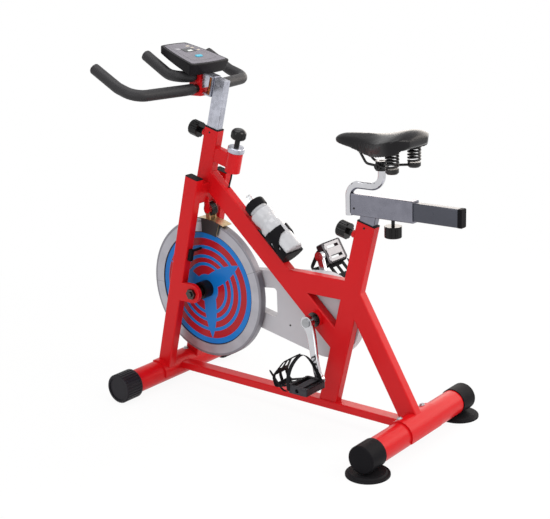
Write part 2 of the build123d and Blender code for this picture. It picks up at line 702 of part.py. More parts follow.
def build_flywheel():
    """The flywheel casting, its painted faces, its hub and its fixed axle."""
    half = WHEEL_THICK / 2
    rim = disc(WHEEL_X, WHEEL_Z, WHEEL_RADIUS, -half, half, DISC_RADIUS)
    rim = chamfer(rim.edges().filter_by(GeomType.CIRCLE).sort_by(SortBy.RADIUS)[-2:], 2)
    web = disc(WHEEL_X, WHEEL_Z, DISC_RADIUS, -WEB_THICK / 2, WEB_THICK / 2, HUB_RADIUS)
    save("flywheel_casting", rim + web)

    faces = []
    for side in (1, -1):
        low, high = sorted((side * WEB_THICK / 2, side * (WEB_THICK / 2 + DISC_THICK)))
        faces.append(disc(WHEEL_X, WHEEL_Z, DISC_RADIUS - 0.3, low, high, HUB_RADIUS + 0.3))
    save("flywheel_faces", *faces)

    hub = disc(WHEEL_X, WHEEL_Z, HUB_RADIUS, -HUB_RIGHT, HUB_LEFT)
    step = (HUB_LEFT - WHEEL_THICK / 2) / HUB_GROOVES
    for groove in range(HUB_GROOVES):
        low = WHEEL_THICK / 2 + step * (groove + 0.3)
        hub = hub - disc(WHEEL_X, WHEEL_Z, HUB_RADIUS, low, low + step * 0.4, HUB_RADIUS - HUB_GROOVE_DEPTH)
    teeth = slab(
        Pos(WHEEL_X, WHEEL_Z) * toothed_outline(SPROCKET_TEETH, CHAIN_PITCH, TOOTH_HEIGHT),
        CHAIN_Y - TOOTH_THICK / 2, CHAIN_Y + TOOTH_THICK / 2)
    bore = disc(WHEEL_X, WHEEL_Z, WHEEL_AXLE / 2 + 2, -HUB_RIGHT, HUB_LEFT)
    seat_right = disc(WHEEL_X, WHEEL_Z, BEARING_OUTER / 2 + RUN_GAP, -HUB_RIGHT, BEARING_WIDE - HUB_RIGHT)
    seat_left = disc(WHEEL_X, WHEEL_Z, BEARING_OUTER / 2 + RUN_GAP, HUB_LEFT - BEARING_WIDE, HUB_LEFT)
    save("flywheel_hub", hub + teeth - bore - seat_right - seat_left)

    axle = disc(WHEEL_X, WHEEL_Z, WHEEL_AXLE / 2, -WHEEL_AXLE_HALF, WHEEL_AXLE_HALF)
    pieces = [axle]
    for side in (1, -1):
        hexagon = RegularPolygon(NUT_ACROSS / 2, 6, major_radius=False) - Circle(WHEEL_AXLE / 2 + 0.1)
        for start, thick in ((FORK_OUTER_Y, NUT_THICK), (FORK_OUTER_Y - LUG_THICK - NUT_THICK, NUT_THICK)):
            low, high = sorted((side * start, side * (start + thick)))
            pieces.append(slab(Pos(WHEEL_X, WHEEL_Z) * hexagon, low, high))
    save("flywheel_axle", *pieces)


def build_bearings():
    """Ball bearing units of the flywheel and of the crank axle."""
    units = []
    for low in (-HUB_RIGHT + 0.3, HUB_LEFT - BEARING_WIDE + 0.3):
        units.append(disc(
            WHEEL_X, WHEEL_Z, BEARING_OUTER / 2, low, low + BEARING_WIDE - 0.3, WHEEL_AXLE / 2 + 0.1))
    bore = AXLE_OUTER / 2 + RUN_GAP
    for side in (1, -1):
        low, high = sorted((side * (SHELL_HALF - CUP_DEPTH), side * SHELL_HALF))
        cup = disc(BRACKET_X, BRACKET_Z, SHELL_OUTER / 2 - 3.1, low, high, bore)
        low, high = sorted((side * SHELL_HALF, side * (SHELL_HALF + CUP_FLANGE)))
        units.append(cup + disc(BRACKET_X, BRACKET_Z, SHELL_OUTER / 2 - 1, low, high, bore))
    save("hub_bearings", *units)


def crank_arm(side):
    """A tapered crank that swings outwards to its pedal, with the pedal's spindle."""
    way = leaning(CRANK_BACK, 1.0) * -1 * side
    across = Vector(0, side, 0)
    sections = []
    for share, deep, thick, out in (
            (0.06, 33.0, 15.0, 0.0), (0.35, 28.0, 13.0, 0.22), (0.70, 24.0, 12.0, 0.80), (0.95, 25.0, 12.5, 1.0)):
        middle = BRACKET + way * (CRANK_LENGTH * share)
        middle = middle + across * (CRANK_BOSS_Y + (CRANK_END_Y - CRANK_BOSS_Y) * out)
        sections.append(Plane(origin=middle, x_dir=(0, 1, 0), z_dir=way) * RectangleRounded(thick, deep, 4.0))
    arm = loft(sections)
    boss_start = BRACKET + across * (CRANK_BOSS_Y - CRANK_BOSS_THICK / 2)
    arm = arm + rod(boss_start, across, CRANK_BOSS_THICK, CRANK_BOSS_RADIUS)
    end_start = BRACKET + way * CRANK_LENGTH + across * (CRANK_END_Y - CRANK_END_THICK / 2)
    arm = arm + rod(end_start, across, CRANK_END_THICK, CRANK_END_RADIUS)
    spindle_long = CRANK_END_THICK + PEDAL_INSET + PEDAL_WIDE - 12
    arm = arm + rod(end_start, across, spindle_long, SPINDLE / 2)
    return arm - rod(boss_start, across, CRANK_BOSS_THICK, AXLE_OUTER / 2)


def build_cranks():
    """Crank axle with its end nuts, chainring and the two arms."""
    end = CRANK_BOSS_Y + CRANK_BOSS_THICK / 2
    axle = disc(BRACKET_X, BRACKET_Z, AXLE_OUTER / 2, -end, end)
    nuts = []
    for side in (1, -1):
        low, high = sorted((side * end, side * (end + 4)))
        nuts.append(disc(BRACKET_X, BRACKET_Z, CRANK_BOSS_RADIUS - 6, low, high))
    save("crank_axle", axle + nuts)
    for side, name in ((1, "left"), (-1, "right")):
        save(f"crank_arm_{name}", crank_arm(side))

    ring = toothed_outline(RING_TEETH, CHAIN_PITCH, TOOTH_HEIGHT)
    for window in PolarLocations(RING_RADIUS * 0.62, 5):
        ring = ring - window * Circle(RING_RADIUS * 0.22)
    ring = ring - Circle(AXLE_OUTER / 2)
    plate = slab(
        Pos(BRACKET_X, BRACKET_Z) * ring, CHAIN_Y - TOOTH_THICK / 2, CHAIN_Y + TOOTH_THICK / 2)
    collar = disc(
        BRACKET_X, BRACKET_Z, CRANK_BOSS_RADIUS, -(CRANK_BOSS_Y - CRANK_BOSS_THICK / 2),
        CHAIN_Y - TOOTH_THICK / 2, AXLE_OUTER / 2)
    save("chainring", plate + collar)


def build_chain():
    """Two plate loops that straddle the teeth, tied by pins along the straight runs."""
    outer = belt_outline(
        BRACKET_X, BRACKET_Z, RING_RADIUS + PLATE_HALF, WHEEL_X, WHEEL_Z, SPROCKET_RADIUS + PLATE_HALF)
    inner = belt_outline(
        BRACKET_X, BRACKET_Z, RING_RADIUS - PLATE_HALF, WHEEL_X, WHEEL_Z, SPROCKET_RADIUS - PLATE_HALF)
    band = outer - inner
    near = TOOTH_THICK / 2 + CHAIN_GAP
    plates = slab(band, CHAIN_Y + near, CHAIN_Y + near + PLATE_THICK)
    plates = plates + slab(band, CHAIN_Y - near - PLATE_THICK, CHAIN_Y - near)
    reach = math.hypot(WHEEL_X - BRACKET_X, WHEEL_Z - BRACKET_Z)
    heading = math.atan2(WHEEL_Z - BRACKET_Z, WHEEL_X - BRACKET_X)
    spread = math.acos((RING_RADIUS - SPROCKET_RADIUS) / reach)
    pins = []
    for angle in (heading + spread, heading - spread):
        start = BRACKET + Vector(math.cos(angle), 0, math.sin(angle)) * RING_RADIUS
        end = side_point(WHEEL_X, WHEEL_Z) + Vector(math.cos(angle), 0, math.sin(angle)) * SPROCKET_RADIUS
        run = (end - start).length
        count = int(run / (2 * CHAIN_PITCH)) - 2
        for pin in range(1, count + 1):
            spot = start + (end - start) * ((pin + 0.5) / (count + 2))
            pins.append(disc(spot.X, spot.Z, 2.2, CHAIN_Y - near - PLATE_THICK, CHAIN_Y + near + PLATE_THICK))
    save("chain", plates + pins)


def guard_window():
    """The opening between the guard's two arms."""
    reach = math.hypot(WHEEL_X - BRACKET_X, WHEEL_Z - BRACKET_Z)
    heading = math.atan2(WHEEL_Z - BRACKET_Z, WHEEL_X - BRACKET_X)
    slope = math.asin((GUARD_REAR_RADIUS - GUARD_FRONT_RADIUS) / reach)
    corners = []
    for x, side in ((WINDOW_REAR_X, -1), (WINDOW_FRONT_X, -1), (WINDOW_FRONT_X, 1), (WINDOW_REAR_X, 1)):
        tilt = heading - side * slope
        foot = (GUARD_REAR_RADIUS - GUARD_ARM) / math.cos(tilt)
        corners.append((x, BRACKET_Z + side * foot + (x - BRACKET_X) * math.tan(tilt)))
    outline = make_face(Polyline(*corners, close=True))
    return fillet(outline.vertices(), WINDOW_CORNER)


def build_guard():
    """Two moulded shells round the chain, with a window between the chain's runs."""
    window = guard_window()
    outline = belt_outline(BRACKET_X, BRACKET_Z, GUARD_REAR_RADIUS, WHEEL_X, WHEEL_Z, GUARD_FRONT_RADIUS)
    hollow = belt_outline(
        BRACKET_X, BRACKET_Z, GUARD_REAR_RADIUS - GUARD_WALL, WHEEL_X, WHEEL_Z, GUARD_FRONT_RADIUS - GUARD_WALL)
    frame_window = offset(window, GUARD_WALL)
    shell_way = Pos(BRACKET_X, BRACKET_Z) * Circle(SHELL_OUTER / 2 + 1)
    hub_way = Pos(WHEEL_X, WHEEL_Z) * Circle(HUB_RADIUS + 3)
    boss_way = Pos(BRACKET_X, BRACKET_Z) * Circle(CRANK_BOSS_RADIUS + 2)
    axle_way = Pos(WHEEL_X, WHEEL_Z) * Circle(HUB_RADIUS + 3)
    wall = outline - hollow
    rim = frame_window - window
    inner = slab(outline - window - shell_way - hub_way, GUARD_INNER_Y - GUARD_WALL, GUARD_INNER_Y)
    inner = inner + slab(wall + rim, CHAIN_Y, GUARD_INNER_Y - GUARD_WALL)
    save("chain_guard_inner", inner)
    outer = slab(outline - window - boss_way - axle_way, GUARD_OUTER_Y, GUARD_OUTER_Y + GUARD_WALL)
    outer = outer + slab(wall + rim, GUARD_OUTER_Y + GUARD_WALL, CHAIN_Y)
    save("chain_guard_outer", outer)


def pedal_frame(side):
    """A pedal's own axes: X to the toe, Y along the spindle from the middle of the pedal, Z through its top."""
    axis = BRACKET + leaning(CRANK_BACK, 1.0) * (-side * CRANK_LENGTH)
    middle = CRANK_END_Y + CRANK_END_THICK / 2 + PEDAL_INSET + PEDAL_WIDE / 2
    turn = 0.0 if side > 0 else RIGHT_PEDAL_TURN
    return Location((axis.X, side * middle, axis.Z), (0, turn, 0))


def build_pedal(side, name):
    """A moulded pedal with toothed rails, and its toe cage with the strap."""
    place = pedal_frame(side)
    body = Box(PEDAL_LONG, PEDAL_WIDE, PEDAL_THICK)
    body = fillet(body.edges().filter_by(Axis.Z), 8)
    gap_long = (PEDAL_LONG - PEDAL_BARREL) / 2 - PEDAL_RAIL
    for direction in (1, -1):
        centre = direction * (PEDAL_BARREL / 2 + gap_long / 2)
        body = body - Pos(centre, 0, 0) * Box(gap_long, PEDAL_WIDE - 2 * PEDAL_RAIL, PEDAL_THICK)
        pitch = (PEDAL_WIDE - 2 * PEDAL_RAIL) / PEDAL_TEETH
        for tooth in range(PEDAL_TEETH):
            spot = (tooth + 0.5) * pitch - (PEDAL_WIDE - 2 * PEDAL_RAIL) / 2
            for face in (1, -1):
                notch = Pos(direction * PEDAL_LONG / 2, spot, face * PEDAL_THICK / 2)
                body = body - notch * Box(2 * PEDAL_RAIL, pitch / 2, 2 * TOOTH_NOTCH)
    for face in (1, -1):
        body = body - Pos(0, 0, face * PEDAL_THICK / 2) * Box(PEDAL_BARREL, PEDAL_WIDE - 2 * PEDAL_RAIL, 4)
    body = body - Rot(90, 0, 0) * Cylinder(SPINDLE / 2 + RUN_GAP, PEDAL_WIDE)
    save(f"pedal_{name}", place * body)

    front = PEDAL_LONG / 2
    line = FilletPolyline(
        (front + CAGE_THICK / 2, -4), (front + CAGE_THICK / 2, 6), (CAGE_REACH - 12, 14), (CAGE_REACH, 50),
        (CAGE_REACH - 36, CAGE_TALL - 8), (front - 2, CAGE_TALL), radius=[3, 18, 16, 20])
    strip = slab(trace(line, CAGE_THICK), -CAGE_WIDE / 2, CAGE_WIDE / 2)
    slot = CAGE_WIDE / 2 - 16
    for direction in (1, -1):
        y = direction * (slot / 2 + 5)
        strip = strip - Pos(CAGE_REACH, y, 36) * Box(36, slot, 26)
        strip = strip - Pos(CAGE_REACH - 22, y, 74) * Box(26, slot, 16)
        strip = strip - Pos(front + 30, y, 10) * Box(30, slot, 20)
        strip = strip - Pos(front + 20, y, CAGE_TALL) * Box(20, slot, 20)
    half = PEDAL_WIDE / 2 + STRAP_THICK / 2
    top = CAGE_TALL + CAGE_THICK / 2 + STRAP_THICK / 2 + 0.6
    shoulder = CAGE_WIDE / 2 + 5
    arch = FilletPolyline(
        (-half, -8), (-half, 48), (-shoulder, top), (shoulder, top), (half, 48), (half, -8),
        radius=[26, 22, 22, 26])
    strap = Plane(origin=(front - 2 + STRAP_WIDE / 2 - 14, 0, 0), x_dir=(0, 1, 0), z_dir=(1, 0, 0)) * trace(
        arch, STRAP_THICK)
    save(f"toe_cage_{name}", place * largest(strip), place * extrude(strap, STRAP_WIDE))


def mirrored_run(points):
    """A left-hand run of points followed by its right-hand mirror image."""
    return points + [(x, -y, z) for x, y, z in reversed(points)]


def build_handlebar():
    """Post, clamp bracket, the wide bar with its foam and the inner bar with its foam."""
    post_top = HEAD_TOP + HEAD_UP * POST_TOP_RISE
    post_long = POST_TOP_RISE + POST_INSIDE
    post = tube_beam(post_top, HEAD_UP * -1, post_long, POST_DEEP, POST_WIDE, POST_WALL, TUBE_CORNER)
    lid = full_beam(post_top - HEAD_UP * 3, HEAD_UP, 3, POST_DEEP, POST_WIDE, TUBE_CORNER)
    save("handlebar_post", post + lid)

    bar_level = (BAR_Z - HEAD_TOP_Z) / HEAD_UP.Z
    axis_point = HEAD_TOP + HEAD_UP * bar_level
    face = axis_point + HEAD_FORWARD * (POST_DEEP / 2)
    block_back = BAR_X - BAR_TUBE / 2 - BLOCK_BACK
    clamp_deep = (block_back - face.X) / HEAD_FORWARD.X
    ring = Rectangle(CLAMP_TALL, clamp_deep) - Rectangle(CLAMP_TALL - 2 * CLAMP_WALL, clamp_deep - 2 * CLAMP_WALL)
    middle = face + HEAD_FORWARD * (clamp_deep / 2)
    bracket = Plane(origin=middle - Vector(0, CLAMP_WIDE / 2, 0), x_dir=HEAD_UP, z_dir=(0, 1, 0)) * ring
    block_low = BAR_Z - BLOCK_BELOW
    block_high = INNER_Z + BLOCK_ABOVE
    block_front = max(BAR_X, INNER_X) + BLOCK_FRONT
    block = Pos((block_back + block_front) / 2, 0, (block_low + block_high) / 2) * Box(
        block_front - block_back, BLOCK_WIDE, block_high - block_low)
    bracket = largest(extrude(bracket, CLAMP_WIDE) - block)
    save("handlebar_clamp", bracket)

    wide = mirrored_run([
        (HORN_TIP_X, BAR_HALF, HORN_TIP_Z), (HORN_BEND_X, BAR_HALF, HORN_BEND_Z),
        (HORN_CORNER_X, BAR_HALF, BAR_Z), (BAR_X, INNER_HALF, BAR_Z)])
    radii = [HORN_BEND, BAR_BEND, 150, 150, BAR_BEND, HORN_BEND]
    bar = bent_bar(wide, radii, BAR_TUBE, BAR_BORE)
    grip = bent_bar(wide, radii, GRIP_OUTER)
    gap = Pos(BAR_X, 0, BAR_Z) * Box(GRIP_OUTER * 2, 2 * GRIP_START, GRIP_OUTER * 2)
    foam = grip - bent_bar(wide, radii, BAR_TUBE + 0.2) - gap
    for x, z in ((BAR_X, BAR_Z), (INNER_X, INNER_Z)):
        block = block - disc(x, z, BAR_TUBE / 2 + RUN_GAP, -BLOCK_WIDE / 2, BLOCK_WIDE / 2)
    save("handlebar", bar, *foam.solids(), block)

    inner = bent_bar(inner_run(), inner_radii(), BAR_TUBE, BAR_BORE)
    inner_grip = bent_bar(inner_run(), inner_radii(), GRIP_OUTER)
    bare = Pos(INNER_X, 0, INNER_Z) * Box(GRIP_OUTER * 2, 2 * INNER_GRIP_START, GRIP_OUTER * 2)
    inner_foam = inner_grip - bent_bar(inner_run(), inner_radii(), BAR_TUBE + 0.2) - bare
    save("inner_bars", inner, *inner_foam.solids())


def inner_run():
    """The inner bar: a U of tube that lies over the wide bar and points forward and up."""
    return mirrored_run([
        (INNER_TIP_X, INNER_HALF, INNER_TIP_Z), (INNER_BEND_X, INNER_HALF, INNER_BEND_Z),
        (INNER_X, INNER_HALF, INNER_Z)])


def inner_radii():
    """Bend radii of the inner bar."""
    return [HORN_BEND, INNER_CORNER, INNER_CORNER, HORN_BEND]


def console_outline(margin):
    """The console's plan: narrower in front, with bulging sides, reduced by a margin."""
    half_x = CONSOLE_DEEP / 2 - margin
    back_y = CONSOLE_WIDE / 2 - margin
    front_y = CONSOLE_FRONT_WIDE / 2 - margin
    side_y = (back_y + front_y) / 2 + CONSOLE_BULGE
    back = ThreePointArc((-half_x, -back_y), (-half_x - CONSOLE_BULGE, 0), (-half_x, back_y))
    left = ThreePointArc((-half_x, back_y), (0, side_y), (half_x, front_y))
    front = ThreePointArc((half_x, front_y), (half_x + CONSOLE_BULGE / 2, 0), (half_x, -front_y))
    right = ThreePointArc((half_x, -front_y), (0, -side_y), (-half_x, -back_y))
    outline = make_face([back, left, front, right])
    return fillet(outline.vertices(), 6)


def build_console():
    """The console's case, its face panel and its key."""
    turn = math.radians(CONSOLE_TILT)
    top = Plane(
        origin=(CONSOLE_X, 0, CONSOLE_Z), x_dir=(math.cos(turn), 0, math.sin(turn)),
        z_dir=(-math.sin(turn), 0, math.cos(turn)))
    case = extrude(top.offset(-CONSOLE_THICK) * console_outline(5), CONSOLE_THICK, taper=-9)
    slope = math.degrees(math.atan2(CONSOLE_THICK - CONSOLE_FRONT_THICK, CONSOLE_DEEP))
    under = top.offset(-CONSOLE_THICK) * Pos(-CONSOLE_DEEP / 2, 0, 0) * Rot(0, -slope, 0)
    case = case - under * Pos(CONSOLE_DEEP / 2, 0, -CONSOLE_THICK) * Box(
        2 * CONSOLE_DEEP, 2 * CONSOLE_WIDE, 2 * CONSOLE_THICK)
    case = fillet(case.faces().sort_by(Axis.Z)[-1].edges(), 3)
    seat = INNER_Z + BAR_TUBE / 2 + 0.1
    block = Pos(INNER_X, 0, (seat + CONSOLE_Z) / 2 - 12) * Box(26, 34, CONSOLE_Z - seat - 24)
    foot = Pos(INNER_X, 0, seat + 4.4) * Box(30, 46, 8)
    case = case + block + foot
    bar_way = Pos(INNER_X, 0, INNER_Z) * Rot(90, 0, 0) * Cylinder(BAR_TUBE / 2 + 0.1, 2 * INNER_HALF)
    block_way = Pos(INNER_X, 0, INNER_Z) * Box(4 * BLOCK_FRONT, BLOCK_WIDE + 0.4, 2 * BLOCK_ABOVE + 0.2)
    panel_way = top.offset(-PANEL_SEAT) * extrude(console_outline(PANEL_MARGIN), PANEL_SEAT + 5)
    case = largest(case - bar_way - block_way - panel_way)
    key_spot = Pos(-BUTTON_BACK, 0, 0)
    key = RectangleRounded(BUTTON_WIDE, BUTTON_LONG, 4)
    key_way = top.offset(-PANEL_SEAT - BUTTON_SEAT) * (key_spot * offset(key, 0.4))
    save("console_case", case - extrude(key_way, PANEL_SEAT + BUTTON_SEAT + 5))
    panel = extrude(top.offset(-PANEL_SEAT) * console_outline(PANEL_MARGIN + 0.1), PANEL_SEAT + PANEL_RISE)
    save("console_panel", panel - extrude(key_way, PANEL_SEAT + BUTTON_SEAT + 5))
    key_face = top.offset(-PANEL_SEAT - BUTTON_SEAT + 0.8 + BUTTON_RISE) * (key_spot * key)
    cap = extrude(key_face, PANEL_SEAT + BUTTON_SEAT + PANEL_RISE - 0.8)
    save("console_button", fillet(cap.faces().sort_by(Axis.Z)[-1].edges(), 0.8))


def clamp_knob(seat_point, direction, depth):
    """A fluted knob whose screw runs through a boss to the post behind it."""
    base = Plane(origin=seat_point + direction * KNOB_STAND, z_dir=direction)
    knob = base * fluted_knob(KNOB_RADIUS, KNOB_LENGTH, KNOB_FLUTES, FLUTE_RADIUS, KNOB_EDGE)
    collar = rod(seat_point + direction * (KNOB_BOSS_LONG + 0.4), direction, KNOB_STAND - KNOB_BOSS_LONG, 9)
    screw = rod(seat_point - direction * depth, direction, KNOB_STAND + depth, SCREW / 2)
    return knob + collar + screw


def build_knobs():
    """The clamping screws of the two posts and of the saddle's slide."""
    head_face = HEAD_TOP - HEAD_UP * HEAD_KNOB_DROP + HEAD_FORWARD * (HEAD_DEEP / 2)
    save("head_knob", clamp_knob(head_face, HEAD_FORWARD, (HEAD_DEEP - POST_DEEP) / 2 - 0.4))
    seat_face = SEAT_TOP - SEAT_UP * SEAT_KNOB_DROP + SEAT_FORWARD * (TUBE_DEEP / 2)
    save("seat_knob", clamp_knob(seat_face, SEAT_FORWARD, (TUBE_DEEP - SEAT_POST_DEEP) / 2 - 0.4))
    bottom = SLEEVE_Z - SLEEVE_TALL / 2
    base = Plane(origin=(SLIDE_KNOB_X, 0, bottom - SLIDE_KNOB_DROP), z_dir=(0, 0, -1))
    knob = base * fluted_knob(KNOB_RADIUS, KNOB_LENGTH, KNOB_FLUTES, FLUTE_RADIUS, KNOB_EDGE)
    screw_top = SLEEVE_Z - SLIDER_TALL / 2 - 0.4
    screw_long = screw_top - bottom + SLIDE_KNOB_DROP
    screw = rod((SLIDE_KNOB_X, 0, bottom - SLIDE_KNOB_DROP), (0, 0, 1), screw_long, SCREW / 2)
    save("slide_knob", knob + screw)


def brake_axis():
    """The top middle of the brake housing, behind the head tube."""
    return HEAD_TOP - HEAD_UP * BRAKE_DROP - HEAD_FORWARD * BRAKE_BEHIND


def build_brake():
    """Tension knob and housing, the hanger with its spring, the brake yoke with its pads and the cable."""
    top = brake_axis()
    housing = rod(top - HEAD_UP * BRAKE_LENGTH, HEAD_UP, BRAKE_LENGTH, BRAKE_RADIUS)
    arm_start = top - HEAD_UP * (BRAKE_LENGTH / 2)
    arm = full_beam(arm_start, HEAD_FORWARD, BRAKE_BEHIND - HEAD_DEEP / 2, ARM_TALL, ARM_WIDE, TUBE_CORNER)
    stem_way = rod(top - HEAD_UP * (BRAKE_LENGTH - 6), HEAD_UP, BRAKE_LENGTH + COLLAR_TALL, STEM_RADIUS + RUN_GAP)
    collar = rod(top, HEAD_UP, COLLAR_TALL, COLLAR_RADIUS, STEM_RADIUS + RUN_GAP)
    collar = chamfer(collar.edges().filter_by(GeomType.CIRCLE).sort_by(SortBy.RADIUS)[-2:], 2)
    save("brake_housing", housing + arm - stem_way, collar)

    stem = rod(top - HEAD_UP * 30, HEAD_UP, 30 + COLLAR_TALL + STEM_LENGTH, STEM_RADIUS)
    head_place = Plane(origin=top + HEAD_UP * (COLLAR_TALL + STEM_LENGTH - 6), z_dir=HEAD_UP)
    cap = extrude(Circle(MUSHROOM_RADIUS), MUSHROOM_TALL)
    cap = fillet(cap.edges().group_by(Axis.Z)[-1], 14)
    cap = fillet(cap.edges().group_by(Axis.Z)[0], 9)
    lobes = PolarLocations(MUSHROOM_RADIUS + LOBE_RADIUS * 0.55, MUSHROOM_LOBES)
    cap = cap - lobes * extrude(Circle(LOBE_RADIUS), MUSHROOM_TALL)
    save("resistance_knob", stem + head_place * cap)

    crown_middle = fork_point(CROWN_Z)
    crown_low = crown_middle - FORK_UP * (CROWN_TALL / 2)
    cheeks = []
    for side in (1, -1):
        outline = Pos(PIVOT_X, PIVOT_Z) * Circle(EAR_RADIUS + 3)
        rise = crown_low.Z - PIVOT_Z + 12
        outline = outline + Pos(PIVOT_X, PIVOT_Z + rise / 2) * Rectangle(2 * EAR_RADIUS + 2, rise)
        low, high = sorted((side * HANGER_GAP / 2, side * (HANGER_GAP / 2 + HANGER_WALL)))
        cheeks.append(slab(outline, low, high) - crown_form() - head_form - down_form)
    pin_half = HANGER_GAP / 2 + HANGER_WALL + 3
    pin = disc(PIVOT_X, PIVOT_Z, PIVOT_PIN / 2, -pin_half, pin_half)
    hanger = pin + [largest(cheek) for cheek in cheeks]

    spring_long = SPRING_TURNS * SPRING_PITCH
    spring_place = Plane(origin=(PIVOT_X, -spring_long / 2, PIVOT_Z), x_dir=(0, 0, 1), z_dir=(0, 1, 0))
    spring = coil_spring(spring_place, SPRING_RADIUS, SPRING_TURNS, SPRING_PITCH, SPRING_WIRE)
    save("brake_hanger", hanger, spring)

    save("brake_yoke", *yoke_pieces())

    route = cable_route()
    cable = bent_bar(route, [12, 12], CABLE)
    save("brake_cable", cable - down_form)


def cable_route():
    """The brake cable's points, from the housing's foot down into the down tube."""
    foot = brake_axis() - HEAD_UP * BRAKE_LENGTH
    entry = BRACKET + DOWN_DIR * 480 + DOWN_NORMAL * (TUBE_DEEP / 2 - 1)
    first = foot - HEAD_UP * 22
    second = entry + DOWN_NORMAL * 16 + DOWN_DIR * 6
    return [tuple(foot), tuple(first), (second.X, -3.0, second.Z), (entry.X, -5.0, entry.Z)]


def ring_sector(radius_low, radius_high, start, end):
    """Part of a ring about the flywheel's centre, drawn in X and Z."""
    def spot(radius, angle):
        turn = math.radians(angle)
        return WHEEL_X + radius * math.cos(turn), WHEEL_Z + radius * math.sin(turn)

    middle = (start + end) / 2
    low = ThreePointArc(spot(radius_low, start), spot(radius_low, middle), spot(radius_low, end))
    high = ThreePointArc(spot(radius_high, end), spot(radius_high, middle), spot(radius_high, start))
    return make_face([low, Line(low @ 1, high @ 0), high, Line(high @ 1, low @ 0)])


def yoke_pieces():
    """The channel over the flywheel's rim, its ears on the pivot and its felt pads."""
    web_low = WHEEL_RADIUS + YOKE_CLEAR
    web_high = web_low + YOKE_WALL
    yoke = slab(ring_sector(web_low, web_high, YOKE_START, YOKE_END), -YOKE_HALF, YOKE_HALF)
    for side in (1, -1):
        low, high = sorted((side * (YOKE_HALF - YOKE_WALL), side * YOKE_HALF))
        yoke = yoke + slab(ring_sector(web_high - YOKE_DEPTH, web_high, PAD_START, PAD_END + 3), low, high)
        ear = Pos(PIVOT_X, PIVOT_Z) * Circle(EAR_RADIUS)
        ear = ear + Pos(PIVOT_X, (PIVOT_Z + WHEEL_Z + web_low) / 2) * Rectangle(
            2 * EAR_RADIUS, PIVOT_Z - WHEEL_Z - web_low)
        low, high = sorted((side * (HANGER_GAP / 2 - 0.4 - EAR_WALL), side * (HANGER_GAP / 2 - 0.4)))
        under = disc(WHEEL_X, WHEEL_Z, web_low, low, high)
        bore = disc(PIVOT_X, PIVOT_Z, PIVOT_PIN / 2 + RUN_GAP, low, high)
        yoke = yoke + largest(slab(ear, low, high) - under) - bore
    pads = []
    for side in (1, -1):
        low, high = sorted((side * (WHEEL_THICK / 2 + PAD_GAP), side * (YOKE_HALF - YOKE_WALL)))
        pads.append(slab(ring_sector(web_high - YOKE_DEPTH + 2, WHEEL_RADIUS, PAD_START, PAD_END), low, high))
    pads.append(slab(
        ring_sector(WHEEL_RADIUS + PAD_GAP, web_low, PAD_START, PAD_END), -WHEEL_THICK / 2, WHEEL_THICK / 2))
    return [yoke] + pads


def build_sensor():
    """The speed sensor clipped behind the left fork blade."""
    back = fork_point(SENSOR_Z, FORK_Y) - Vector(FORK_UP.Z, 0, -FORK_UP.X) * (FORK_DEEP / 2)
    place = Plane(origin=back, x_dir=(0, 1, 0), z_dir=FORK_UP)
    body = place * (Pos(0, SENSOR_DEEP / 2 + 0.2, 0) * Box(SENSOR_WIDE, SENSOR_DEEP, SENSOR_LONG))
    body = fillet(body.edges().filter_by(GeomType.LINE), 2)
    probe = rod(
        back - Vector(FORK_UP.Z, 0, -FORK_UP.X) * (SENSOR_DEEP / 2) + FORK_UP * (SENSOR_LONG / 2 - 6), (0, -1, 0),
        FORK_Y - WHEEL_THICK / 2 - 8, 4)
    save("speed_sensor", body + probe)


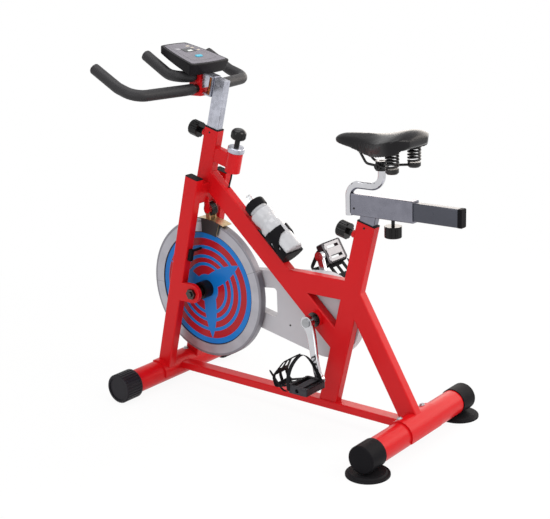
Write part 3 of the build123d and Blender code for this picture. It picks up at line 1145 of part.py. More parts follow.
def build_seat():
    """Seat post with its sleeve, the slider with its cap, the bent tube and the saddle clamp."""
    sleeve_low = SLEEVE_Z - SLEEVE_TALL / 2
    post_long = SEAT_POST_INSIDE + 60
    post = tube_beam(
        SEAT_TOP - SEAT_UP * SEAT_POST_INSIDE, SEAT_UP, post_long, SEAT_POST_DEEP, SEAT_POST_WIDE, TUBE_WALL,
        TUBE_CORNER)
    above = Pos(SEAT_TOP_X, 0, sleeve_low + 200) * Box(400, 100, 400)
    post = largest(post - above)
    long = SLEEVE_FRONT_X - SLEEVE_BACK_X
    outline = RectangleRounded(SLEEVE_WIDE, SLEEVE_TALL, TUBE_CORNER)
    way = Rectangle(SLIDER_WIDE + 2 * SLIDER_GAP, SLIDER_TALL + 2 * SLIDER_GAP)
    sleeve = extrude(section_plane((SLEEVE_BACK_X, 0, SLEEVE_Z), (1, 0, 0)) * (outline - way), long)
    screw_way = rod((SLIDE_KNOB_X, 0, sleeve_low - 1), (0, 0, 1), SLEEVE_TALL / 2, SCREW / 2 + SCREW_GAP)
    save("seat_post", post + sleeve - screw_way)

    slider_front = BENT_FRONT_X - BENT_TUBE / 2 - RUN_GAP
    slider = tube_beam(
        (SLIDER_BACK_X, 0, SLEEVE_Z), (1, 0, 0), slider_front - SLIDER_BACK_X, SLIDER_TALL, SLIDER_WIDE,
        SLIDER_WALL, TUBE_CORNER)
    plate = full_beam((slider_front - 3, 0, SLEEVE_Z), (1, 0, 0), 3, SLIDER_TALL, SLIDER_WIDE, TUBE_CORNER)
    save("seat_slider", slider + plate)
    room = 2 * SLIDER_WALL + 0.2
    cap = full_beam(
        (SLIDER_BACK_X - SLIDER_CAP, 0, SLEEVE_Z), (1, 0, 0), SLIDER_CAP, SLIDER_TALL + 1, SLIDER_WIDE + 1, 4)
    cap = fillet(cap.faces().sort_by(Axis.X)[0].edges(), 2)
    plug = full_beam(
        (SLIDER_BACK_X, 0, SLEEVE_Z), (1, 0, 0), 16, SLIDER_TALL - room, SLIDER_WIDE - room, TUBE_CORNER / 2 + 0.3)
    save("slider_cap", cap + plug)

    run = [
        (BENT_FRONT_X, 0, sleeve_low - 4), (BENT_FRONT_X, 0, BENT_RUN_Z), (BENT_TOP_X, 0, BENT_RUN_Z),
        (BENT_TOP_X, 0, BENT_TOP_Z)]
    tube = bent_bar(run, [BENT_RADIUS, BENT_RADIUS], BENT_TUBE, BENT_BORE)
    save("saddle_tube", tube)

    hinge_z = BENT_TOP_Z - CLAMP_HINGE_RISE
    clamp = rod((BENT_TOP_X, 0, BENT_TOP_Z - CLAMP_LENGTH), (0, 0, 1), CLAMP_LENGTH, CLAMP_RADIUS)
    clamp = clamp - rod(
        (BENT_TOP_X, 0, BENT_TOP_Z - CLAMP_LENGTH), (0, 0, 1), CLAMP_LENGTH, BENT_TUBE / 2 + 0.1)
    bolt_half = RAIL_HALF + RAIL_WIRE
    for side in (1, -1):
        start = side_point(BENT_TOP_X, hinge_z, side * (CLAMP_RADIUS - 2))
        clamp = clamp + rod(start, (0, side, 0), bolt_half - CLAMP_RADIUS + 2, 4)
        cheek_y = RAIL_HALF - RAIL_WIRE / 2 - 3.4
        clamp = clamp + rod(side_point(BENT_TOP_X, hinge_z, side * (CLAMP_RADIUS - 3)), (0, side, 0),
                            cheek_y - CLAMP_RADIUS + 3 + 3, 12)
    clamp = clamp - rod(
        (BENT_TOP_X, 0, BENT_TOP_Z - CLAMP_LENGTH), (0, 0, 1), CLAMP_LENGTH, BENT_TUBE / 2 + 0.1)
    save("saddle_clamp", largest(clamp))


def saddle_section(x, half, crown, skirt):
    """One cross section of the saddle: a crowned top, drawn-in sides and a level lower edge."""
    shoulder = crown - 0.36 * (crown - skirt)
    top = ThreePointArc((-half, shoulder), (0, crown), (half, shoulder))
    right = Line((half, shoulder), (half * 0.93, skirt))
    bottom = Line((half * 0.93, skirt), (-half * 0.93, skirt))
    left = Line((-half * 0.93, skirt), (-half, shoulder))
    return Plane(origin=(x, 0, 0), x_dir=(0, 1, 0), z_dir=(1, 0, 0)) * make_face([top, right, bottom, left])


def saddle_inside(x, half, low, high):
    """One cross section of the hollow under the saddle, or of the base plate in it."""
    middle = (low + high) / 2
    return Plane(origin=(x, 0, middle), x_dir=(0, 1, 0), z_dir=(1, 0, 0)) * Rectangle(2 * half, high - low)


def build_saddle():
    """Cushion, base plate, rails with spring cups and the two coil springs."""
    stations = [
        (BENT_TOP_X + ahead, half, BENT_TOP_Z + crown, BENT_TOP_Z + skirt)
        for ahead, half, crown, skirt in SADDLE_STATIONS]
    cushion = loft([saddle_section(*station) for station in stations])
    inner_stations = [(x, half - SADDLE_WALL, crown, skirt) for x, half, crown, skirt in stations[1:-1]]
    hollow = loft([
        saddle_inside(x, half, skirt - 10, crown - SADDLE_PAD) for x, half, crown, skirt in inner_stations])
    save("saddle_cushion", largest(cushion - hollow))
    base = loft([
        saddle_inside(x, half - SOFT_GAP, crown - SADDLE_PAD - SOFT_GAP - BASE_THICK, crown - SADDLE_PAD - SOFT_GAP)
        for x, half, crown, skirt in inner_stations])
    for side in (1, -1):
        seat = (COIL_X, side * COIL_Y, COIL_TOP_Z)
        base = base + rod(seat, (0, 0, 1), SPRING_SEAT_TALL, CUP_RADIUS)
    save("saddle_base", base)

    hinge_z = BENT_TOP_Z - CLAMP_HINGE_RISE
    pieces = []
    for side in (1, -1):
        run = [
            (RAIL_REACH_X, side * 9.0, BENT_TOP_Z + 35.3), (RAIL_REACH_X - 18, side * 12.0, BENT_TOP_Z + 33.0),
            (BENT_TOP_X + 36, side * RAIL_HALF, hinge_z + 6), (BENT_TOP_X - 26, side * RAIL_HALF, hinge_z),
            (COIL_X, side * COIL_Y, COIL_BASE_Z - CUP_TALL / 2)]
        rail = bent_bar(run, [16, 22, 24], RAIL_WIRE)
        cup = rod((COIL_X, side * COIL_Y, COIL_BASE_Z - CUP_TALL), (0, 0, 1), CUP_TALL, CUP_RADIUS)
        cup = chamfer(cup.edges().group_by(Axis.Z)[0], 4)
        grip = rod(side_point(BENT_TOP_X, hinge_z, side * (RAIL_HALF - RAIL_WIRE / 2)), (0, side, 0), RAIL_WIRE, 9)
        bolt_way = rod(side_point(BENT_TOP_X, hinge_z, 0), (0, side, 0), RAIL_HALF + RAIL_WIRE, 4 + RUN_GAP)
        pieces.append(rail + cup + grip - bolt_way)
    save("saddle_rails", *pieces)

    pitch = (COIL_TOP_Z - COIL_BASE_Z - COIL_WIRE - 2 * SPRING_CLEAR) / COIL_TURNS
    springs = []
    for side in (1, -1):
        place = Plane(origin=(COIL_X, side * COIL_Y, COIL_BASE_Z + COIL_WIRE / 2 + SPRING_CLEAR))
        springs.append(coil_spring(place, COIL_RADIUS, COIL_TURNS, pitch, COIL_WIRE))
    save("saddle_springs", *springs)


def bottle_plane(along):
    """A plane across the bottle, at a distance along the down tube from the crank axle."""
    lift = TUBE_DEEP / 2 + CAGE_WALL + BOTTLE_GAP + BOTTLE_RADIUS
    return Plane(origin=BRACKET + DOWN_DIR * along + DOWN_NORMAL * lift, x_dir=DOWN_NORMAL, z_dir=DOWN_DIR)


def build_bottle():
    """Squeeze bottle, its cap and the cage that holds it on the down tube."""
    shoulder_start = BOTTLE_BODY + 26
    profile = Polyline(
        (0, 0), (BOTTLE_RADIUS - 3, 0), (BOTTLE_RADIUS, 4), (BOTTLE_RADIUS, BOTTLE_BODY - 12),
        (BOTTLE_WAIST, BOTTLE_BODY), (BOTTLE_WAIST, BOTTLE_BODY + 10), (BOTTLE_SHOULDER, shoulder_start - 6),
        (BOTTLE_SHOULDER, BOTTLE_LENGTH - 14), (BOTTLE_NECK, BOTTLE_LENGTH - 6), (BOTTLE_NECK, BOTTLE_LENGTH),
        (0, BOTTLE_LENGTH), close=True)
    outside = revolve(Plane.XZ * make_face(profile), Axis.Z)
    inside = offset(outside, -BOTTLE_WALL)
    mouth = Pos(0, 0, BOTTLE_LENGTH - 5) * Cylinder(BOTTLE_NECK - BOTTLE_WALL, 20)
    base = bottle_plane(BOTTLE_START)
    save("bottle", base * (outside - inside - mouth))

    cap = Pos(0, 0, BOTTLE_LENGTH + 0.2) * extrude(Circle(BOTTLE_SHOULDER - 2), BOTTLE_CAP_TALL)
    cap = fillet(cap.edges().group_by(Axis.Z)[-1], 7)
    spout = Pos(0, 0, BOTTLE_LENGTH + BOTTLE_CAP_TALL) * extrude(Circle(NOZZLE_RADIUS + 3), 6)
    nozzle = Pos(0, 0, BOTTLE_LENGTH + BOTTLE_CAP_TALL + 6) * extrude(Circle(NOZZLE_RADIUS), NOZZLE_TALL)
    nozzle = fillet(nozzle.edges().group_by(Axis.Z)[-1], 2)
    save("bottle_cap", base * (cap + spout), base * nozzle)

    inner = BOTTLE_RADIUS + BOTTLE_GAP
    shell = extrude(Circle(inner + CAGE_WALL), CAGE_LENGTH) - extrude(Circle(inner), CAGE_LENGTH)
    floor = Pos(0, 0, -CAGE_FOOT) * extrude(Circle(inner + CAGE_WALL), CAGE_FOOT - 0.4)
    open_top = Pos(inner + CAGE_OVERLAP, 0, CAGE_LENGTH / 2) * Box(2 * inner, 4 * inner, 2 * CAGE_LENGTH)
    side_gap = Pos(-8, 0, CAGE_LENGTH * 0.32) * Box(26, 4 * inner, CAGE_LENGTH * 0.30)
    low_gap = Pos(-8, 0, CAGE_LENGTH * 0.86) * Box(34, 4 * inner, CAGE_LENGTH * 0.34)
    join = Pos(0, 0, -0.5) * (extrude(Circle(inner + CAGE_WALL), 1) - extrude(Circle(inner - 2), 1))
    cage = shell + join + floor - open_top - side_gap - low_gap
    spine = Pos(-inner - CAGE_WALL / 2, 0, CAGE_LENGTH / 2) * Box(CAGE_WALL, 24, CAGE_LENGTH)
    foot = Pos(-inner - CAGE_WALL / 2 + 1, 0, CAGE_LENGTH / 2) * Box(CAGE_WALL + 2, 20, CAGE_LENGTH)
    bottle_way = extrude(Circle(inner), CAGE_LENGTH)
    cage = largest(cage + spine + foot - bottle_way)
    save("bottle_cage", base * cage - down_form)


build_stabilisers()
build_frame()
build_plugs()
build_flywheel()
build_bearings()
build_cranks()
build_chain()
build_guard()
for pedal_side, pedal_name in ((1, "left"), (-1, "right")):
    build_pedal(pedal_side, pedal_name)
build_handlebar()
build_console()
build_knobs()
build_brake()
build_sensor()
build_seat()
build_saddle()
build_bottle()
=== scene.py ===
"""Studio picture of an indoor cycling bike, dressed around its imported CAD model.

Metres. X points forward, Y to the rider's left, Z up; the floor is Z = 0.
"""

import math

import bmesh
import bpy
from mathutils import Matrix, Vector


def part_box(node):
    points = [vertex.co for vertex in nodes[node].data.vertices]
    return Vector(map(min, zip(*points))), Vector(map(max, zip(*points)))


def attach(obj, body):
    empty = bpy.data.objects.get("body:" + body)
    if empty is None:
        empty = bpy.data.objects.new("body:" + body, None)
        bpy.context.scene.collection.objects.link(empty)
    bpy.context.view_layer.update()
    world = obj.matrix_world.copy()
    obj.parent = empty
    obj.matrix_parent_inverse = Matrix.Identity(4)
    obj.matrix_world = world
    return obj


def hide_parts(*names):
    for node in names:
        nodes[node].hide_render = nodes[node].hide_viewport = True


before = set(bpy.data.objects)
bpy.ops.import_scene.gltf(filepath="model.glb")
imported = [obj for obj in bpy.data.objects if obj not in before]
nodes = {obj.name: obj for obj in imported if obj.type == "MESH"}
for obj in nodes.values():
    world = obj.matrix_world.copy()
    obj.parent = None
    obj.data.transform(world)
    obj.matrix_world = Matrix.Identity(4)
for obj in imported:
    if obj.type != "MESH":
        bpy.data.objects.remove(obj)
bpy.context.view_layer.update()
scene = bpy.context.scene

# Where the main axes lie, and the sizes that go with them
WHEEL = Vector((0.341, 0.0, 0.332))
WHEEL_RADIUS = 0.220
TREAD_DEPTH = 0.0015
DISC_RADIUS = 0.183
# Width of the painted shade ring at the outer edge of the wheel's blue faces, where they meet the rim
DISC_SHADE_RING = 0.0035
BRACKET = Vector((-0.089, 0.0, 0.314))
CRANK_LENGTH = 0.165
CRANK_BACK = math.radians(20)
PEDAL_MIDDLE = 0.143
RIGHT_PEDAL_TURN = math.radians(120)
CONSOLE = Vector((0.3623, 0.0, 1.058))
CONSOLE_TILT = math.radians(17.9)
HEAD_LEAN = math.radians(15.5)
CLAMP_MIDDLE = Vector((0.2943, 0.0, 0.9682))
CLAMP_ROOM = 0.054
CLAMP_SHANK = 0.0055
CLAMP_COLLAR = 0.0085
CLAMP_COLLAR_TALL = 0.004
CLAMP_HEXAGON = 0.0078
CLAMP_HEXAGON_LOW = -0.020
CLAMP_HEXAGON_HIGH = -0.012
REAR_TUBE = Vector((-0.414, 0.0, 0.0524))
FRONT_TUBE = Vector((0.497, 0.0, 0.046))
CRADLE_RADIUS = 0.0415

# Paint of the wheel's faces: the arms' angle, ends, half width and sweep, and the arcs' radii
ARM_ANGLE = math.radians(25)
ARM_ROOT = 0.060
ARM_TIP = 0.163
ARM_HALF_WIDE = 0.025
ARM_SWEEP = 0.007
ARC_BANDS = ((0.046, 0.0735), (0.084, 0.0985), (0.109, 0.128), (0.139, 0.162))

# The rim's turned edge, and the two dark painted reflection lines on its band
RIM_EDGE = 0.2115
REFLECTION_LINE_ANGLES = (math.radians(157), math.radians(-2))
REFLECTION_LINE_HALF = 0.0006

# How far from the middle the yoke's flanks are black
YOKE_FLANK = 0.0204

# The foam sleeves' mesh, how full they are, and the reach that tells a bar's tube from its block
FOAM_VOXEL = 0.003
FOAM_RELAX = 4
TUBE_REACH = 0.06

# The saddle's mesh, how full it is, and how cloth pressure swells it
SADDLE_VOXEL = 0.0026
SADDLE_RELAX = 10
SWELL_STEPS = 12
SWELL_REACH = 0.002
SWELL_PRESSURE = 4.0

# How the saddle's tail is tucked in and its skirt drawn down behind
TAIL_FROM = -0.360
TAIL_END = -0.440
TAIL_PULL = 0.015
SKIRT_FROM = 0.858
SKIRT_DEPTH = 0.020
SKIRT_DROP = 0.010
PAN_MIDDLE = -0.300
PAN_SHRINK = 0.06

# The saddle's coil springs
COIL_AHEAD = -0.377
COIL_LEFT = 0.054
COIL_RADIUS = 0.0162
COIL_WIRE = 0.0030
COIL_TURNS = 6
COIL_STEPS = 32

# The cradles' bolts (tube, angle up from ahead, reach to each side) and their washers
CRADLE_BOLTS = ((REAR_TUBE, math.radians(70), 0.058), (FRONT_TUBE, math.radians(92), 0.040))
BOLT_RADIUS = 0.0065
BOLT_TALL = 0.004
WASHER_RATIO = 1.45
WASHER_THICK = 0.0012
HEAD_TAPER = 0.9

# Small screws on the left faces
SCREW_RADIUS = 0.0021
SCREW_TALL = 0.0006
LINER_SCREWS = ((0.2933, 0.016, 0.8274), (-0.2593, 0.015, 0.6054))
SLEEVE_SCREWS = ((-0.2269, 0.016, 0.658),)
GUARD_SCREWS = ((0.0349, -0.0175, 0.2597), (0.0349, -0.0175, 0.378))

# The console's groove: its rear line and bow, the side lines' place and flare, and half its width
GROOVE_REAR = 0.058
GROOVE_BOW = 2.6
GROOVE_SIDE = 0.0393
GROOVE_FRONT = 0.0735
GROOVE_FLARE = 0.111
GROOVE_HALF = 0.0009

# Plates on the console's face, each ahead and left of its middle, long, wide and thick, and their seat
FACE_SEAT = 0.0008
BEZEL = ((0.020, -0.006, 0.024, 0.046, 0.0010),)
SCREEN = ((0.014, -0.006, 0.009, 0.018, 0.0016),)
LABEL = ((0.034, 0.026, 0.012, 0.016, 0.0005),)
MARKS = (
    (0.048, -0.030, 0.007, 0.014, 0.0004), (0.034, -0.036, 0.006, 0.012, 0.0004),
    (0.014, -0.042, 0.007, 0.010, 0.0004),
)

# Share of a plate's or bar's least size that its softened edge takes
EDGE_SHARE = 0.3

# Pedals in their own axes, X to the toe and Z through the top: the plate's bars (middle ahead and left,
# length, width, thickness), the toe cage's taper, and the strap's loop and loose end (ahead, outwards, up)
PEDAL_HALF_THICK = 0.011
PLATE_BARS = (
    (0.0, 0.0, 0.022, 0.070, 0.0016), (0.0245, 0.0, 0.009, 0.070, 0.0016),
    (-0.0245, 0.0, 0.009, 0.070, 0.0016),
    (0.0, 0.031, 0.058, 0.008, 0.0013), (0.0, -0.031, 0.058, 0.008, 0.0013),
)
STRAP_THICK = 0.0018
STRAP_LOOP_WIDE = 0.0145
STRAP_TAIL_WIDE = 0.009
TOE_CAGE_ROOT = 0.034
TOE_CAGE_DIP = 0.35
TOE_CAGE_TOP = 0.092
TOE_CAGE_TAPER_FROM = 0.030
TOE_CAGE_TAPER = 0.62
TOE_CAGE_SETTLE = 0.006
TOE_CAGE_SHORTEN = 0.2
STRAP_LOOP = (
    (0.030, 0.0470, -0.008), (0.031, 0.0474, 0.012), (0.031, 0.0465, 0.036), (0.030, 0.038, 0.059),
    (0.028, 0.019, 0.077), (0.025, -0.008, 0.091), (0.021, -0.032, 0.077), (0.013, -0.0455, 0.054),
    (0.003, -0.0468, 0.036), (-0.008, -0.0470, 0.021), (-0.018, -0.0470, 0.006),
)
STRAP_TAIL = (
    (0.034, 0.0430, -0.0095), (0.049, 0.0425, -0.0125), (0.061, 0.0425, -0.004), (0.076, 0.0425, 0.013),
    (0.090, 0.0425, 0.029), (0.101, 0.0425, 0.042),
)

# Arms of the bottle cage: each is a strip through rungs, given as degrees round from the cage's spine and
# metres up from the bottle's foot
BOTTLE_FOOT = Vector((0.0049, 0.0, 0.4956))
DOWN_LEAN = math.radians(42.6)
BOTTLE_ARM_INNER = 0.0369
BOTTLE_ARM_THICK = 0.0034
BOTTLE_ARM_CUTS = 5
BOTTLE_ARM_RUNGS = (
    ((60, 0.017), (76, 0.015)), ((67, 0.036), (93, 0.029)), ((80, 0.054), (111, 0.041)),
    ((92, 0.066), (127, 0.049)), ((100, 0.079), (140, 0.054)), ((126, 0.0792), (152, 0.0555)),
    ((164, 0.079), (163, 0.056)),
)

# Studio: each lamp's place, width, height, power and colour
LAMPS = (
    ("window_light", (-0.3, -2.9, 1.4), 5.0, 1.5, 62.0, (1.0, 0.91, 0.82)),
    ("rear_light", (-2.6, -0.4, 2.4), 1.8, 1.8, 54.0, (1.0, 0.95, 0.9)),
    ("fill_light", (-0.4, 3.2, 1.6), 2.4, 2.4, 34.0, (1.0, 1.0, 1.0)),
    ("top_light", (0.2, 0.2, 3.4), 2.2, 2.2, 40.0, (1.0, 1.0, 1.0)),
)
LIT_POINT = Vector((0.0, 0.0, 0.55))
ROOM_LIGHT = 0.55
FLOOR_HALF = 14.0
FLOOR_GLOW = 0.92
FLOOR_CLEAR = 2.0
WHITE = (1.0, 1.0, 1.0, 1.0)

# The photograph's camera: its place, the directions ahead and to its right, its focal length and the
# picture's width in pixels, and the sensor's width and far limit in millimetres and metres
EYE = Vector((-2.0063, 2.5483, 1.3899))
AHEAD = Vector((0.60823721, -0.74598419, -0.27121041))
RIGHT = Vector((-0.7804299, -0.62437976, -0.0328493))
FOCAL_PIXELS = 1155.2
PICTURE_WIDE = 550
SENSOR_WIDE = 36.0
FAR_LIMIT = 60.0


class Value:
    """A socket of a node graph; arithmetic on it adds the Math nodes that it needs."""

    def __init__(self, graph, socket):
        self.graph = graph
        self.socket = socket

    def math(self, operation, *others):
        inputs = dict(enumerate((self, *others)))
        return self.graph.node("ShaderNodeMath", {"operation": operation}, inputs)

    def reflected(self, operation, other):
        return self.graph.node("ShaderNodeMath", {"operation": operation}, {0: other, 1: self})

    def __add__(self, other):
        return self.math("ADD", other)

    def __sub__(self, other):
        return self.math("SUBTRACT", other)

    def __mul__(self, other):
        return self.math("MULTIPLY", other)

    def __truediv__(self, other):
        return self.math("DIVIDE", other)

    def __radd__(self, other):
        return self.reflected("ADD", other)

    def __rsub__(self, other):
        return self.reflected("SUBTRACT", other)

    def __gt__(self, other):
        return self.math("GREATER_THAN", other)

    def __lt__(self, other):
        return self.math("LESS_THAN", other)


class Graph:
    """A node tree, and the one way in which nodes are added to it."""

    def __init__(self, tree):
        self.tree = tree

    def node(self, kind, settings=None, inputs=None, output=0):
        """Add a node: its settings first, then the values or links of its sockets."""
        made = self.tree.nodes.new(kind)
        for key, value in (settings or {}).items():
            setattr(made, key, value)
        for key, value in (inputs or {}).items():
            self.feed(made.inputs[key], value)
        return Value(self, made.outputs[output])

    def feed(self, socket, value):
        """Link a value to a socket, or set the socket to a constant."""
        if isinstance(value, Value):
            self.tree.links.new(value.socket, socket)
        else:
            socket.default_value = value

    def seen_directly(self):
        """One where the ray comes from the camera, a mirror or glass."""
        rays = [self.node("ShaderNodeLightPath", output=name) for name in (
            "Is Camera Ray", "Is Glossy Ray", "Is Transmission Ray")]
        return rays[0].math("MAXIMUM", rays[1]).math("MAXIMUM", rays[2])


class Finish(Graph):
    """One procedural material built around a Principled shader."""

    def __init__(self, name, **constants):
        self.material = bpy.data.materials.new(name)
        self.material.use_nodes = True
        super().__init__(self.material.node_tree)
        self.shader = self.tree.nodes["Principled BSDF"]
        for socket, value in constants.items():
            self.shader.inputs[socket.replace("_", " ")].default_value = value

    def drive(self, socket, value):
        """Feed one socket of the Principled shader."""
        self.feed(self.shader.inputs[socket], value)

    def spot(self):
        """The piece's own coordinates."""
        return self.node("ShaderNodeTexCoord", output="Object")

    def place(self):
        """The piece's own coordinates as three numbers."""
        spot = self.spot()
        return [self.node("ShaderNodeSeparateXYZ", {}, {0: spot}, axis) for axis in range(3)]

    def noise(self, scale, detail=3.0, roughness=0.55):
        """Noise with features of about one over the scale, in metres."""
        return self.node("ShaderNodeTexNoise", {}, {
            "Vector": self.spot(), "Scale": scale, "Detail": detail, "Roughness": roughness})

    def mix(self, factor, first, second):
        """A colour between two others."""
        return self.node("ShaderNodeMix", {"data_type": "RGBA"}, {0: factor, 6: first, 7: second}, 2)

    def bump(self, height, strength, distance):
        """Raise the surface by a height."""
        self.drive("Normal", self.node("ShaderNodeBump", {}, {
            "Height": height, "Strength": strength, "Distance": distance}))

    def vary(self, low, high, scale):
        """Roughness that wanders between two values."""
        self.drive("Roughness", low + self.noise(scale) * (high - low))


def rgb(red, green, blue):
    """A colour from screen values of 0 to 255."""
    linear = []
    for part in (red, green, blue):
        share = part / 255
        linear.append(share / 12.92 if share < 0.04045 else ((share + 0.055) / 1.055) ** 2.4)
    return (*linear, 1.0)


def red_paint():
    """Powder coat with a slight orange peel."""
    finish = Finish("red_powder_coat", Specular_IOR_Level=0.2)
    patches = finish.noise(9.0, 2.0)
    finish.drive("Base Color", finish.mix(patches, rgb(190, 10, 18), rgb(198, 18, 24)))
    finish.vary(0.26, 0.38, 40.0)
    finish.bump(finish.noise(420.0, 2.0), 0.05, 0.0004)
    return finish.material


def black_plastic(name="black_moulding", tone=(16, 15, 18), rough=(0.42, 0.55), grain=900.0, shine=0.05):
    """Moulded plastic with a fine spark-eroded grain."""
    finish = Finish(name, Specular_IOR_Level=shine)
    patches = finish.noise(14.0)
    light = tuple(part + 7 for part in tone)
    finish.drive("Base Color", finish.mix(patches, rgb(*tone), rgb(*light)))
    finish.vary(*rough, 60.0)
    finish.bump(finish.noise(grain, 2.0), 0.16, 0.0004)
    return finish.material


def metal(name, tone, rough, scale, darker=0.82):
    """Bare or plated metal with blotchy marks."""
    finish = Finish(name, Metallic=1.0)
    marks = finish.noise(scale, 4.0, 0.6)
    dark = tuple(part * darker for part in tone)
    finish.drive("Base Color", finish.mix(marks, rgb(*dark), rgb(*tone)))
    finish.drive("Roughness", rough[0] + marks * (rough[1] - rough[0]))
    return finish.material


def galvanised(name, dark, light, rough, flakes):
    """Zinc coating with the patchy crystals of a hot dip."""
    finish = Finish(name, Metallic=0.9)
    crystals = finish.node("ShaderNodeTexVoronoi", {}, {"Vector": finish.spot(), "Scale": 95.0}, "Color")
    patch = finish.node("ShaderNodeSeparateXYZ", {}, {0: crystals})
    marks = patch * flakes + finish.noise(30.0, 4.0) * (1 - flakes)
    finish.drive("Base Color", finish.mix(marks, rgb(*dark), rgb(*light)))
    finish.drive("Roughness", rough[0] + marks * (rough[1] - rough[0]))
    return finish.material


def from_axle(finish):
    """Distances ahead of the wheel's axle, above it and from it."""
    x, _, z = finish.place()
    across = x - WHEEL.x
    up = z - WHEEL.z
    return across, up, (across * across + up * up).math("SQRT")


def turned_rim():
    """Turned steel: fine rings about the wheel's axle, a darker edge and tread, and two painted reflection
    lines.
    """
    finish = Finish("turned_rim", Metallic=0.85)
    across, up, radius = from_axle(finish)
    rings = (radius * 5200.0).math("SINE")
    blotches = finish.noise(16.0)
    side = finish.mix(blotches, rgb(150, 149, 156), rgb(190, 189, 196))
    edge = (radius > RIM_EDGE) * 0.55 + (radius > WHEEL_RADIUS - TREAD_DEPTH) * 0.15
    # Painted reflection: two thin dark lines from the axle out across the band, standing in for reflected
    # lines, not seams in the metal
    reflection_lines = None
    for angle in REFLECTION_LINE_ANGLES:
        beside = (up * math.cos(angle) - across * math.sin(angle)).math("ABSOLUTE")
        ahead = across * math.cos(angle) + up * math.sin(angle)
        reflection_line = (beside < REFLECTION_LINE_HALF) * (ahead > 0.0)
        reflection_lines = reflection_line if reflection_lines is None else reflection_lines + reflection_line
    turned = finish.mix(edge, side, rgb(96, 93, 100))
    # Darken the band along the painted reflection lines
    finish.drive("Base Color", finish.mix(reflection_lines * 0.6, turned, rgb(60, 58, 64)))
    finish.drive("Roughness", 0.32 + blotches * 0.12 + rings * 0.02)
    finish.bump(rings, 0.05, 0.0003)
    return finish.material


def wheel_face():
    """Blue enamel with red arcs that three tapered arms break, and a painted shade ring at its outer edge."""
    finish = Finish("wheel_enamel", Coat_Weight=0.1, Coat_Roughness=0.1, Specular_IOR_Level=0.2)
    across, up, radius = from_axle(finish)
    third = 2 * math.pi / 3
    turn = (up.math("ARCTAN2", across) - ARM_ANGLE + third / 2).math("FLOORED_MODULO", third) - third / 2
    outward = (radius - ARM_ROOT) / (ARM_TIP - ARM_ROOT)
    beside = radius * turn.math("SINE") + (1 - outward) * ARM_SWEEP
    clear = beside.math("ABSOLUTE") > (1 - outward * outward) * ARM_HALF_WIDE
    bands = None
    for low, high in ARC_BANDS:
        band = (radius > low) * (radius < high)
        bands = band if bands is None else bands + band
    red = bands * clear
    shade = finish.noise(12.0)
    blue = finish.mix(shade, rgb(10, 98, 176), rgb(20, 118, 194))
    painted = finish.mix(red, blue, rgb(164, 20, 32))
    # Painted shade: a dark ring at the face's outer edge, where it meets the rim
    edge = radius > DISC_RADIUS - DISC_SHADE_RING
    finish.drive("Base Color", finish.mix(edge, painted, rgb(22, 30, 52)))
    finish.drive("Roughness", 0.26 + shade * 0.10)
    finish.bump(red, 0.25, 0.0002)
    return finish.material


def yoke_plate():
    """Yellow-zinc plate whose two outer flanks are black."""
    finish = Finish("yoke_plate", Metallic=0.9)
    left = finish.place()[1]
    flank = left.math("ABSOLUTE") > YOKE_FLANK
    marks = finish.noise(50.0, 4.0)
    plated = finish.mix(marks, rgb(176, 152, 112), rgb(216, 194, 150))
    finish.drive("Base Color", finish.mix(flank, plated, rgb(24, 22, 24)))
    finish.drive("Roughness", 0.26 + marks * 0.14 + flank * 0.16)
    finish.drive("Metallic", 0.9 - flank * 0.9)
    return finish.material


def foam():
    """Closed-cell foam: dull, with small open pores."""
    finish = Finish("foam_sleeve", Specular_IOR_Level=0.32)
    pores = finish.noise(1300.0, 3.0, 0.7)
    finish.drive("Base Color", finish.mix(pores, rgb(20, 19, 21), rgb(44, 43, 46)))
    finish.drive("Roughness", 0.46 + pores * 0.14)
    finish.bump(pores, 0.25, 0.0006)
    return finish.material


def saddle_skin():
    """Soft black vinyl with a fine leather grain."""
    finish = Finish("saddle_vinyl", Specular_IOR_Level=0.2)
    cells = finish.node(
        "ShaderNodeTexVoronoi", {"feature": "DISTANCE_TO_EDGE"}, {"Vector": finish.spot(), "Scale": 420.0})
    creases = finish.noise(700.0, 3.0)
    finish.drive("Base Color", finish.mix(finish.noise(18.0), rgb(12, 11, 13), rgb(20, 18, 21)))
    finish.drive("Roughness", 0.22 + creases * 0.12)
    finish.bump(cells * 3.0 + creases * 0.4, 0.12, 0.0005)
    return finish.material


def bottle_plastic():
    """Milky squeeze plastic that lets some light through."""
    finish = Finish("milky_plastic", Transmission_Weight=0.2, IOR=1.48, Coat_Weight=0.35, Coat_Roughness=0.1)
    cloud = finish.noise(24.0)
    finish.drive("Base Color", finish.mix(cloud, rgb(190, 191, 196), rgb(208, 209, 213)))
    finish.drive("Roughness", 0.26 + cloud * 0.12)
    return finish.material


def clear_plastic():
    """The bottle's clear mouthpiece."""
    finish = Finish("clear_plastic", Transmission_Weight=0.7, IOR=1.45)
    cloud = finish.noise(60.0)
    finish.drive("Base Color", finish.mix(cloud, rgb(228, 232, 236), rgb(246, 248, 250)))
    finish.drive("Roughness", 0.12 + cloud * 0.1)
    return finish.material


def enamel(name, tone, rough, coat, grain=0.0):
    """A plain painted or printed surface with slight variation."""
    finish = Finish(name, Coat_Weight=coat, Coat_Roughness=0.12, Specular_IOR_Level=0.3)
    patches = finish.noise(22.0)
    light = tuple(min(255, part + 9) for part in tone)
    finish.drive("Base Color", finish.mix(patches, rgb(*tone), rgb(*light)))
    finish.vary(*rough, 70.0)
    if grain:
        finish.bump(finish.noise(grain, 2.0), 0.12, 0.0004)
    return finish.material


